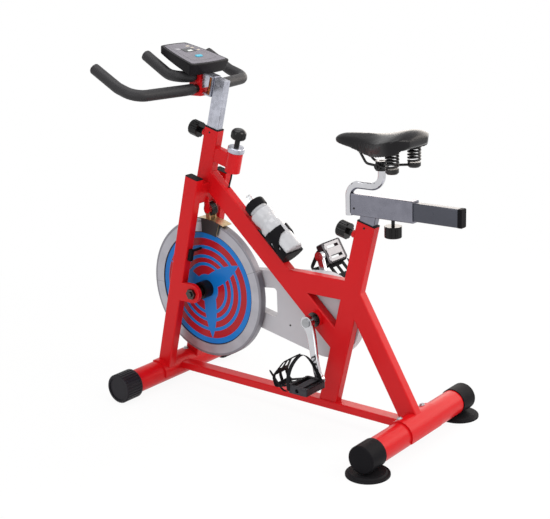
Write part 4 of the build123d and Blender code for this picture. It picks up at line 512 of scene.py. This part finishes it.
def panel_print():
    """The console's grey panel, with a fine groove that frames its middle."""
    finish = Finish("console_panel_print", Coat_Weight=0.1, Coat_Roughness=0.15, Specular_IOR_Level=0.25)
    x, y, z = finish.place()
    along = (x - CONSOLE.x) * math.cos(CONSOLE_TILT) + (z - CONSOLE.z) * math.sin(CONSOLE_TILT)
    across = y.math("ABSOLUTE")
    past_rear = along + GROOVE_REAR - across * across * GROOVE_BOW
    past_side = across - GROOVE_SIDE - (GROOVE_FRONT - along) * GROOVE_FLARE
    on_rear = (past_rear.math("ABSOLUTE") < GROOVE_HALF) * (past_side < 0.0)
    on_side = (past_side.math("ABSOLUTE") < GROOVE_HALF) * (past_rear > 0.0)
    groove = on_rear.math("MAXIMUM", on_side)
    patches = finish.noise(22.0)
    grey = finish.mix(patches, rgb(104, 101, 109), rgb(122, 118, 127))
    finish.drive("Base Color", finish.mix(groove, grey, rgb(46, 44, 49)))
    finish.vary(0.34, 0.46, 70.0)
    finish.bump(0.0 - groove, 0.4, 0.0006)
    return finish.material


RED = red_paint()
BLACK = black_plastic()
RUBBER = black_plastic("black_rubber", (15, 14, 17), (0.6, 0.75), 700.0, 0.12)
ROLLER_GREY = black_plastic("roller_moulding", (28, 26, 31), (0.30, 0.44), 700.0, 0.14)
GLOSS_BLACK = black_plastic("black_gloss_moulding", (9, 8, 9), (0.12, 0.22), 300.0, 0.26)
BLACK_STEEL = black_plastic("black_coated_steel", (14, 13, 14), (0.28, 0.40), 300.0, 0.35)
GUARD = enamel("silver_grey_guard", (176, 175, 180), (0.34, 0.46), 0.1, 600.0)
CHROME = metal("chrome_plate", (214, 214, 218), (0.06, 0.16), 30.0, 0.86)
STEEL = metal("turned_steel", (176, 177, 180), (0.24, 0.4), 90.0)
ZINC = galvanised("bright_zinc", (146, 148, 157), (200, 202, 214), (0.20, 0.34), 0.4)
DULL_ZINC = galvanised("dull_zinc", (108, 108, 118), (138, 138, 149), (0.22, 0.34), 0.12)
YOKE = yoke_plate()
BRONZE = metal("brown_bronze", (158, 92, 52), (0.3, 0.5), 80.0, 0.7)
DARK_STEEL = metal("dark_steel", (98, 94, 92), (0.16, 0.34), 70.0, 0.5)
CHAIN_STEEL = metal("oiled_steel", (96, 94, 92), (0.3, 0.5), 120.0)
PEDAL_ALLOY = metal("pedal_alloy", (78, 76, 81), (0.30, 0.46), 80.0, 0.6)
SLIDER = enamel("blue_grey_paint", (58, 60, 70), (0.24, 0.34), 0.15)
RIM = turned_rim()
WHEEL_FACE = wheel_face()
FOAM = foam()
VINYL = saddle_skin()
MILKY = bottle_plastic()
CLEAR = clear_plastic()
CASE = black_plastic("console_moulding", (18, 16, 19), (0.28, 0.40), 800.0, 0.08)
PANEL = panel_print()
KEY = enamel("key_print", (44, 168, 196), (0.28, 0.4), 0.2)
SCREEN_GREY = enamel("screen_grey", (214, 218, 216), (0.1, 0.2), 0.4)
SCREEN_DARK = enamel("screen_bezel", (20, 20, 26), (0.12, 0.22), 0.2)
LABEL_GREY = enamel("label_print", (150, 148, 154), (0.35, 0.5), 0.1)
BEIGE = enamel("beige_print", (196, 186, 170), (0.35, 0.5), 0.1)
SILVER_PLATE = enamel("silver_pedal_plate", (168, 167, 171), (0.26, 0.4), 0.2)

NODE_FINISHES = {
    RED: (
        "base_rail", "fork_blade_left", "fork_blade_right", "head_tube", "down_tube", "top_brace",
        "seat_tube", "rear_stay", "front_stabiliser", "rear_stabiliser"),
    BLACK: ("tube_plugs", "rear_end_caps", "speed_sensor", "bottle_cage", "slider_cap"),
    ROLLER_GREY: ("roller_left", "roller_right"),
    PEDAL_ALLOY: ("pedal_left", "pedal_right"),
    GLOSS_BLACK: ("head_knob", "seat_knob", "slide_knob", "resistance_knob"),
    RUBBER: ("foot_left", "foot_right", "brake_cable"),
    BLACK_STEEL: ("flywheel_hub", "saddle_clamp", "saddle_rails"),
    GUARD: ("chain_guard_inner", "chain_guard_outer"),
    CHROME: ("crank_arm_left", "crank_arm_right", "saddle_tube"),
    STEEL: ("crank_axle",),
    DARK_STEEL: ("hub_bearings", "flywheel_axle"),
    CHAIN_STEEL: ("chain", "chainring"),
    ZINC: ("handlebar_post", "handlebar_clamp"),
    DULL_ZINC: ("seat_post",),
    SLIDER: ("seat_slider",),
    RIM: ("flywheel_casting",),
    WHEEL_FACE: ("flywheel_faces",),
    CASE: ("console_case",),
    PANEL: ("console_panel",),
    KEY: ("console_button",),
    MILKY: ("bottle",),
}
for finish, names in NODE_FINISHES.items():
    for name in names:
        nodes[name].data.materials.clear()
        nodes[name].data.materials.append(finish)


def new_piece(name, mesh_data, finish, body, replaced=()):
    """Link a finished mesh as a piece that rides on a body."""
    piece = bpy.data.objects.new(name, mesh_data)
    scene.collection.objects.link(piece)
    mesh_data.materials.clear()
    mesh_data.materials.append(finish)
    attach(piece, body)
    if replaced:
        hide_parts(*replaced)
    return piece


def to_mesh(name, shape, smooth=True):
    """Turn a bmesh into mesh data."""
    data = bpy.data.meshes.new(name)
    shape.to_mesh(data)
    shape.free()
    for face in data.polygons:
        face.use_smooth = smooth
    return data


def loose_solids(node):
    """The separate solids of a CAD node, each as a merged bmesh; solids that only touch stay apart."""
    whole = bmesh.new()
    whole.from_mesh(nodes[node].data)
    bmesh.ops.remove_doubles(whole, verts=whole.verts, dist=1e-5)
    whole.faces.index_update()
    seen = set()
    groups = []
    for face in whole.faces:
        if face.index in seen:
            continue
        group = set()
        waiting = [face]
        seen.add(face.index)
        while waiting:
            here = waiting.pop()
            group.add(here.index)
            for edge in here.edges:
                if len(edge.link_faces) != 2:
                    continue
                for there in edge.link_faces:
                    if there.index not in seen:
                        seen.add(there.index)
                        waiting.append(there)
        groups.append(group)
    solids = []
    for group in groups:
        solid = whole.copy()
        solid.faces.index_update()
        others = [face for face in solid.faces if face.index not in group]
        bmesh.ops.delete(solid, geom=others, context="FACES")
        solids.append(solid)
    whole.free()
    return solids


def spread(solid, axis):
    """The lowest and highest coordinate of a bmesh along an axis."""
    places = [vert.co[axis] for vert in solid.verts]
    return min(places), max(places)


def ramp(value, start, end):
    """How far a value is from a start to an end, from 0 to 1."""
    return min(max((value - start) / (end - start), 0.0), 1.0)


def subdivide(piece, levels):
    """Round a piece off with a Subdivision Surface modifier."""
    smooth = piece.modifiers.new("smooth", "SUBSURF")
    smooth.levels = levels
    smooth.render_levels = levels


def remeshed(name, solid, voxel, smoothing):
    """An even, softened copy of a solid."""
    data = to_mesh(name, solid)
    carrier = bpy.data.objects.new(name + "_form", data)
    scene.collection.objects.link(carrier)
    remesh = carrier.modifiers.new("even", "REMESH")
    remesh.mode = "VOXEL"
    remesh.voxel_size = voxel
    relax = carrier.modifiers.new("relax", "SMOOTH")
    relax.factor = 0.5
    relax.iterations = smoothing
    depsgraph = bpy.context.evaluated_depsgraph_get()
    result = bpy.data.meshes.new_from_object(carrier.evaluated_get(depsgraph))
    result.name = name
    bpy.data.objects.remove(carrier)
    bpy.data.meshes.remove(data)
    for face in result.polygons:
        face.use_smooth = True
    return result


def dress_bars():
    """Foam sleeves on the wide bar and on the inner bar, the bare tubes and the red block that holds them."""
    for node, title in (("handlebar", "wide_bar"), ("inner_bars", "inner_bar")):
        for solid in loose_solids(node):
            low, high = spread(solid, 1)
            if low < -TUBE_REACH and high > TUBE_REACH:
                name = f"{title}_tube"
                piece = new_piece(name, to_mesh(name, solid, False), BLACK_STEEL, "handlebars")
            elif low < 0 < high:
                name = f"{title}_block"
                piece = new_piece(name, to_mesh(name, solid, False), RED, "handlebars")
            else:
                name = f"{title}_foam_{'left' if low > 0 else 'right'}"
                sleeve = remeshed(name, solid, FOAM_VOXEL, FOAM_RELAX)
                piece = new_piece(name, sleeve, FOAM, "handlebars")
        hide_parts(node)


def swell(name, data, steps, reach):
    """Blow a closed skin up a little with cloth pressure, moving no point by more than a reach."""
    carrier = bpy.data.objects.new(name + "_form", data)
    scene.collection.objects.link(carrier)
    cloth = carrier.modifiers.new("cloth", "CLOTH")
    cloth.settings.use_pressure = True
    cloth.settings.uniform_pressure_force = SWELL_PRESSURE
    cloth.settings.effector_weights.gravity = 0.0
    for step in range(1, steps + 1):
        scene.frame_set(step)
    depsgraph = bpy.context.evaluated_depsgraph_get()
    swollen = bpy.data.meshes.new_from_object(carrier.evaluated_get(depsgraph))
    for before, after in zip(data.vertices, swollen.vertices):
        move = after.co - before.co
        if move.length > reach:
            after.co = before.co + move.normalized() * reach
    bpy.data.objects.remove(carrier)
    scene.frame_set(1)
    swollen.name = name
    return swollen


def tuck_tail(points):
    """Draw the saddle's tail forward a little."""
    for point in points:
        back = ramp(point.co.x, TAIL_FROM, TAIL_END)
        point.co.x += back * back * TAIL_PULL


def dress_saddle():
    """A padded vinyl saddle, the pan under it and its two coil springs."""
    solid = loose_solids("saddle_cushion")[0]
    skin = remeshed("saddle_pad", solid, SADDLE_VOXEL, SADDLE_RELAX)
    tuck_tail(skin.vertices)
    for vert in skin.vertices:
        back = ramp(vert.co.x, TAIL_FROM, TAIL_END)
        low = ramp(vert.co.z, SKIRT_FROM, SKIRT_FROM - SKIRT_DEPTH)
        vert.co.z -= back * low * SKIRT_DROP
    skin = swell("saddle_pad", skin, SWELL_STEPS, SWELL_REACH)
    for face in skin.polygons:
        face.use_smooth = True
    pad = new_piece("saddle_pad", skin, VINYL, "saddle", ("saddle_cushion",))
    subdivide(pad, 1)

    pan = loose_solids("saddle_base")[0]
    tuck_tail(pan.verts)
    for vert in pan.verts:
        vert.co.x += (PAN_MIDDLE - vert.co.x) * PAN_SHRINK
        vert.co.y -= vert.co.y * PAN_SHRINK
    pan_mesh = to_mesh("saddle_pan", pan, False)
    new_piece("saddle_pan", pan_mesh, BLACK, "saddle", ("saddle_base",))

    coils = bmesh.new()
    low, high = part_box("saddle_springs")
    climb = (high.z - low.z - 2 * COIL_WIRE) / COIL_TURNS
    for side in (1, -1):
        ring = bmesh.ops.create_circle(coils, cap_ends=True, radius=COIL_WIRE, segments=12)
        spot = (COIL_AHEAD + COIL_RADIUS, side * COIL_LEFT, low.z + COIL_WIRE)
        start = Matrix.Translation(spot) @ Matrix.Rotation(math.pi / 2, 4, "X")
        bmesh.ops.transform(coils, matrix=start, verts=ring["verts"])
        faces = list({face for vert in ring["verts"] for face in vert.link_faces})
        bmesh.ops.spin(
            coils, geom=ring["verts"] + faces, cent=(COIL_AHEAD, side * COIL_LEFT, 0), axis=(0, 0, 1),
            dvec=(0, 0, climb / COIL_STEPS), angle=2 * math.pi * COIL_TURNS, steps=COIL_STEPS * COIL_TURNS,
            use_merge=False)
    bmesh.ops.recalc_face_normals(coils, faces=coils.faces)
    coil_mesh = to_mesh("saddle_coils", coils)
    new_piece("saddle_coils", coil_mesh, BLACK_STEEL, "saddle", ("saddle_springs",))


# Nodes whose solids are of different stuff: the body, the axis along which the solids are told apart, the
# size that parts them, and the finish and slot of the smaller and of the larger ones
SPLIT_NODES = (
    ("brake_housing", "frame", 2, 0.035, (ZINC, "zinc"), (RED, "red_paint")),
    ("brake_hanger", "frame", 1, 0.035, (BLACK_STEEL, "black_steel"), (RED, "red_paint")),
    ("bottle_cap", "drink", 1, 0.020, (CLEAR, "bottle_plastic"), (BLACK, "black_plastic")),
    ("brake_yoke", "yoke", 1, 0.035, (BLACK, "black_plastic"), (YOKE, "yellow_zinc")),
)


def dress_split_nodes():
    """Show the separate solids of some CAD nodes as pieces with a finish each."""
    for node, body, axis, parting, smaller, larger in SPLIT_NODES:
        for index, solid in enumerate(loose_solids(node)):
            low, high = spread(solid, axis)
            finish, slot = smaller if high - low < parting else larger
            name = f"{node}_{index + 1}"
            new_piece(name, to_mesh(name, solid, False), finish, body)
        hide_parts(node)


def bolt_head(shape, spot, direction, radius, tall):
    """A domed bolt head with a washer, added to a bmesh."""
    turn = direction.to_track_quat("Z", "Y").to_matrix().to_4x4()
    for size, rise, low in ((radius * WASHER_RATIO, WASHER_THICK, 0.0), (radius, tall, WASHER_THICK)):
        made = bmesh.ops.create_cone(
            shape, cap_ends=True, segments=20, radius1=size, radius2=size * HEAD_TAPER, depth=rise)
        place = Matrix.Translation(spot) @ turn @ Matrix.Translation((0, 0, low + rise / 2))
        bmesh.ops.transform(shape, matrix=place, verts=made["verts"])


def dress_fasteners():
    """Bolts of the two cradles and the small dark screws of the liners, the sleeve and the guard."""
    shape = bmesh.new()
    for middle, angle, reach in CRADLE_BOLTS:
        out = Vector((math.cos(angle), 0, math.sin(angle)))
        for side in (1, -1):
            spot = middle + out * CRADLE_RADIUS + Vector((0, side * reach, 0))
            bolt_head(shape, spot, out, BOLT_RADIUS, BOLT_TALL)
    new_piece("cradle_bolts", to_mesh("cradle_bolts", shape, False), STEEL, "frame")
    for name, body, spots in (
            ("liner_screws", "frame", LINER_SCREWS), ("guard_screws", "frame", GUARD_SCREWS),
            ("sleeve_screw", "seat_mast", SLEEVE_SCREWS)):
        shape = bmesh.new()
        for spot in spots:
            bolt_head(shape, Vector(spot), Vector((0, 1, 0)), SCREW_RADIUS, SCREW_TALL)
        new_piece(name, to_mesh(name, shape, False), BLACK_STEEL, body)


def soft_box(shape, place, size):
    """A plate or bar with softened edges, added to a bmesh."""
    made = bmesh.ops.create_cube(shape, size=1.0)
    bmesh.ops.transform(shape, matrix=place @ Matrix.Diagonal((*size, 1.0)), verts=made["verts"])
    edges = list({edge for vert in made["verts"] for edge in vert.link_edges})
    bmesh.ops.bevel(
        shape, geom=edges, offset=min(size) * EDGE_SHARE, segments=2, profile=0.5, affect="EDGES",
        material=-1)


def dress_console():
    """The console's screen, its dark bezel and small plain marks."""
    turn = Matrix.Rotation(-CONSOLE_TILT, 4, "Y")
    for name, finish, plates in (
            ("console_bezel", SCREEN_DARK, BEZEL), ("console_screen", SCREEN_GREY, SCREEN),
            ("console_label", LABEL_GREY, LABEL), ("console_marks", BEIGE, MARKS)):
        shape = bmesh.new()
        for ahead, left, long, wide, thick in plates:
            middle = CONSOLE + turn.to_3x3() @ Vector((ahead, left, FACE_SEAT + thick / 2))
            soft_box(shape, Matrix.Translation(middle) @ turn, (long, wide, thick))
        new_piece(name, to_mesh(name, shape, False), finish, "handlebars")


def dress_clamp():
    """The bronze bolt that stands in the handlebar clamp's loop: shank, two collars and a hexagon head."""
    shape = bmesh.new()
    place = Matrix.Translation(CLAMP_MIDDLE) @ Matrix.Rotation(-HEAD_LEAN, 4, "Y")
    end = CLAMP_ROOM / 2
    for radius, low, high, sides in (
            (CLAMP_SHANK, -end, end, 24), (CLAMP_COLLAR, -end, -end + CLAMP_COLLAR_TALL, 24),
            (CLAMP_COLLAR, end - CLAMP_COLLAR_TALL, end, 24),
            (CLAMP_HEXAGON, CLAMP_HEXAGON_LOW, CLAMP_HEXAGON_HIGH, 6)):
        made = bmesh.ops.create_cone(
            shape, cap_ends=True, segments=sides, radius1=radius, radius2=radius, depth=high - low)
        bmesh.ops.translate(shape, vec=(0, 0, (low + high) / 2), verts=made["verts"])
    bmesh.ops.transform(shape, matrix=place, verts=shape.verts[:])
    new_piece("clamp_bolt", to_mesh("clamp_bolt", shape, False), BRONZE, "handlebars")


def pedal_matrix(side):
    """A pedal's own axes at rest: X to the toe, Z through the top."""
    swing = Vector((math.sin(CRANK_BACK), 0, math.cos(CRANK_BACK))) * (-side * CRANK_LENGTH)
    middle = BRACKET + swing + Vector((0, side * PEDAL_MIDDLE, 0))
    turn = 0.0 if side > 0 else RIGHT_PEDAL_TURN
    return Matrix.Translation(middle) @ Matrix.Rotation(turn, 4, "Y")


def dress_pedals():
    """A barred alloy plate under each pedal."""
    for side, name in ((1, "left"), (-1, "right")):
        plate = bmesh.new()
        for ahead, left, long, wide, thick in PLATE_BARS:
            middle = (ahead, left, -PEDAL_HALF_THICK - thick / 2)
            soft_box(plate, Matrix.Translation(middle), (long, wide, thick))
        bmesh.ops.transform(plate, matrix=pedal_matrix(side), verts=plate.verts[:])
        plate_mesh = to_mesh(f"pedal_plate_{name}", plate, False)
        new_piece(f"pedal_plate_{name}", plate_mesh, SILVER_PLATE, f"{name}_pedal")


def ladder(shape, rungs):
    """A strip of faces through pairs of points, added to a bmesh."""
    sides = {}
    rim = None
    for rung in rungs:
        if rim is None:
            sides = {shape.verts.new(spot): side for side, spot in enumerate(rung)}
            rim = shape.edges.new(list(sides))
            continue
        grown = bmesh.ops.extrude_edge_only(shape, edges=[rim])["geom"]
        fresh = {}
        for vert in grown:
            if isinstance(vert, bmesh.types.BMVert):
                beside = [edge.other_vert(vert) for edge in vert.link_edges]
                fresh[vert] = next(sides[other] for other in beside if other in sides)
                vert.co = rung[fresh[vert]]
        rim = next(edge for edge in shape.edges if all(vert in fresh for vert in edge.verts))
        sides = fresh


def band(shape, path, wide, axis):
    """A flat strip along a path, spread to both sides as near to an axis as the path allows."""
    rungs = []
    for index, spot in enumerate(path):
        along = path[min(index + 1, len(path) - 1)] - path[max(index - 1, 0)]
        across = (axis - along * (axis.dot(along) / along.length_squared)).normalized() * (wide / 2)
        rungs.append((spot - across, spot + across))
    ladder(shape, rungs)


def thicken(shape, thick):
    """Give a strip a thickness, with its faces outwards."""
    bmesh.ops.recalc_face_normals(shape, faces=shape.faces[:])
    bmesh.ops.solidify(shape, geom=shape.faces[:], thickness=thick)
    bmesh.ops.recalc_face_normals(shape, faces=shape.faces[:])


def dress_bottle_cage():
    """The cage's two arms, which climb from its foot and close round the bottle."""
    along = Vector((math.cos(DOWN_LEAN), 0, math.sin(DOWN_LEAN)))
    out = Vector((-along.z, 0, along.x))
    for side, name in ((1, "left"), (-1, "right")):
        arm = bmesh.new()
        ladder(arm, [[Vector((turn, rise, 0)) for turn, rise in rung] for rung in BOTTLE_ARM_RUNGS])
        bmesh.ops.subdivide_edges(arm, edges=arm.edges[:], cuts=BOTTLE_ARM_CUTS, use_grid_fill=True)
        thicken(arm, BOTTLE_ARM_THICK)
        for vert in arm.verts:
            turn = math.radians(vert.co.x)
            around = Vector((0, side * math.sin(turn), 0)) - out * math.cos(turn)
            vert.co = BOTTLE_FOOT + along * vert.co.y + around * (BOTTLE_ARM_INNER + abs(vert.co.z))
        bmesh.ops.recalc_face_normals(arm, faces=arm.faces[:])
        arm_mesh = to_mesh(f"cage_arm_{name}", arm, False)
        new_piece(f"cage_arm_{name}", arm_mesh, BLACK, "frame")


def dress_toe_cages():
    """Toe cages that narrow to the strap and dip at the toe, with the strap's loop and its loose end."""
    for side, name in ((1, "left"), (-1, "right")):
        place = pedal_matrix(side)
        cage = max(loose_solids(f"toe_cage_{name}"), key=lambda solid: len(solid.faces))
        bmesh.ops.transform(cage, matrix=place.inverted(), verts=cage.verts[:])
        for vert in cage.verts:
            rise = ramp(vert.co.z, TOE_CAGE_TAPER_FROM, TOE_CAGE_TOP)
            vert.co.y *= 1 - rise * rise * TOE_CAGE_TAPER
            ahead = max(vert.co.x - TOE_CAGE_ROOT, 0.0)
            vert.co.x -= ahead * TOE_CAGE_SHORTEN
            vert.co.z -= ahead * TOE_CAGE_DIP + rise * TOE_CAGE_SETTLE
        bmesh.ops.transform(cage, matrix=place, verts=cage.verts[:])
        cage_mesh = to_mesh(f"toe_cage_strip_{name}", cage, False)
        new_piece(f"toe_cage_strip_{name}", cage_mesh, BLACK, f"{name}_pedal",
                  (f"toe_cage_{name}",))

        strap = bmesh.new()
        for path, wide, axis in (
                (STRAP_LOOP, STRAP_LOOP_WIDE, (1, 0, 0)), (STRAP_TAIL, STRAP_TAIL_WIDE, (0, 1, 0))):
            spots = [Vector((ahead, side * out, up)) for ahead, out, up in path]
            band(strap, spots, wide, Vector(axis))
        thicken(strap, STRAP_THICK)
        bmesh.ops.transform(strap, matrix=place, verts=strap.verts[:])
        strap_mesh = to_mesh(f"toe_strap_{name}", strap)
        piece = new_piece(f"toe_strap_{name}", strap_mesh, RUBBER, f"{name}_pedal")
        subdivide(piece, 2)


dress_bars()
dress_saddle()
dress_split_nodes()
dress_fasteners()
dress_console()
dress_clamp()
dress_pedals()
dress_toe_cages()
dress_bottle_cage()


def place_camera():
    """The photograph's point of view."""
    up = RIGHT.cross(AHEAD)
    data = bpy.data.cameras.new("studio_camera")
    data.sensor_fit = "HORIZONTAL"
    data.sensor_width = SENSOR_WIDE
    data.lens = SENSOR_WIDE * FOCAL_PIXELS / PICTURE_WIDE
    data.clip_end = FAR_LIMIT
    camera = bpy.data.objects.new("studio_camera", data)
    camera.matrix_world = Matrix.Translation(EYE) @ Matrix((RIGHT, up, -AHEAD)).transposed().to_4x4()
    scene.collection.objects.link(camera)
    scene.camera = camera


def light_studio():
    """A white room, a warm window on the right, three soft lamps and a pale floor."""
    world = bpy.data.worlds.new("white_room")
    scene.world = world
    world.use_nodes = True
    room = Graph(world.node_tree)
    glow = room.node("ShaderNodeBackground", {}, {"Color": WHITE, "Strength": ROOM_LIGHT})
    shown = room.node("ShaderNodeBackground", {}, {"Color": WHITE, "Strength": 1.0})
    both = room.node("ShaderNodeMixShader", {}, {0: room.seen_directly(), 1: glow, 2: shown})
    room.feed(room.tree.nodes["World Output"].inputs[0], both)

    for name, spot, wide, tall, power, tone in LAMPS:
        data = bpy.data.lights.new(name, "AREA")
        data.shape = "RECTANGLE"
        data.size = wide
        data.size_y = tall
        data.energy = power
        data.color = tone
        lamp = bpy.data.objects.new(name, data)
        lamp.location = spot
        lamp.rotation_euler = (LIT_POINT - Vector(spot)).to_track_quat("-Z", "Y").to_euler()
        scene.collection.objects.link(lamp)

    shape = bmesh.new()
    bmesh.ops.create_grid(shape, x_segments=1, y_segments=1, size=FLOOR_HALF)
    data = to_mesh("floor", shape, False)
    floor = bpy.data.objects.new("floor", data)
    scene.collection.objects.link(floor)
    finish = Finish("pale_floor", Roughness=0.9, Base_Color=(0.86, 0.86, 0.86, 1.0))
    lit = Value(finish, finish.shader.outputs[0])
    glow = finish.node("ShaderNodeEmission", {}, {"Color": WHITE, "Strength": 1.0})
    x, y, _ = finish.place()
    away = ((x * x + y * y) / (FLOOR_CLEAR * FLOOR_CLEAR)).math("MINIMUM", 1.0)
    pale = finish.node("ShaderNodeMixShader", {}, {0: FLOOR_GLOW + away * (1 - FLOOR_GLOW), 1: lit, 2: glow})
    shown = finish.node("ShaderNodeMixShader", {}, {0: finish.seen_directly(), 1: lit, 2: pale})
    finish.feed(finish.tree.nodes["Material Output"].inputs[0], shown)
    data.materials.append(finish.material)


place_camera()
light_studio()
scene.view_settings.view_transform = "Standard"
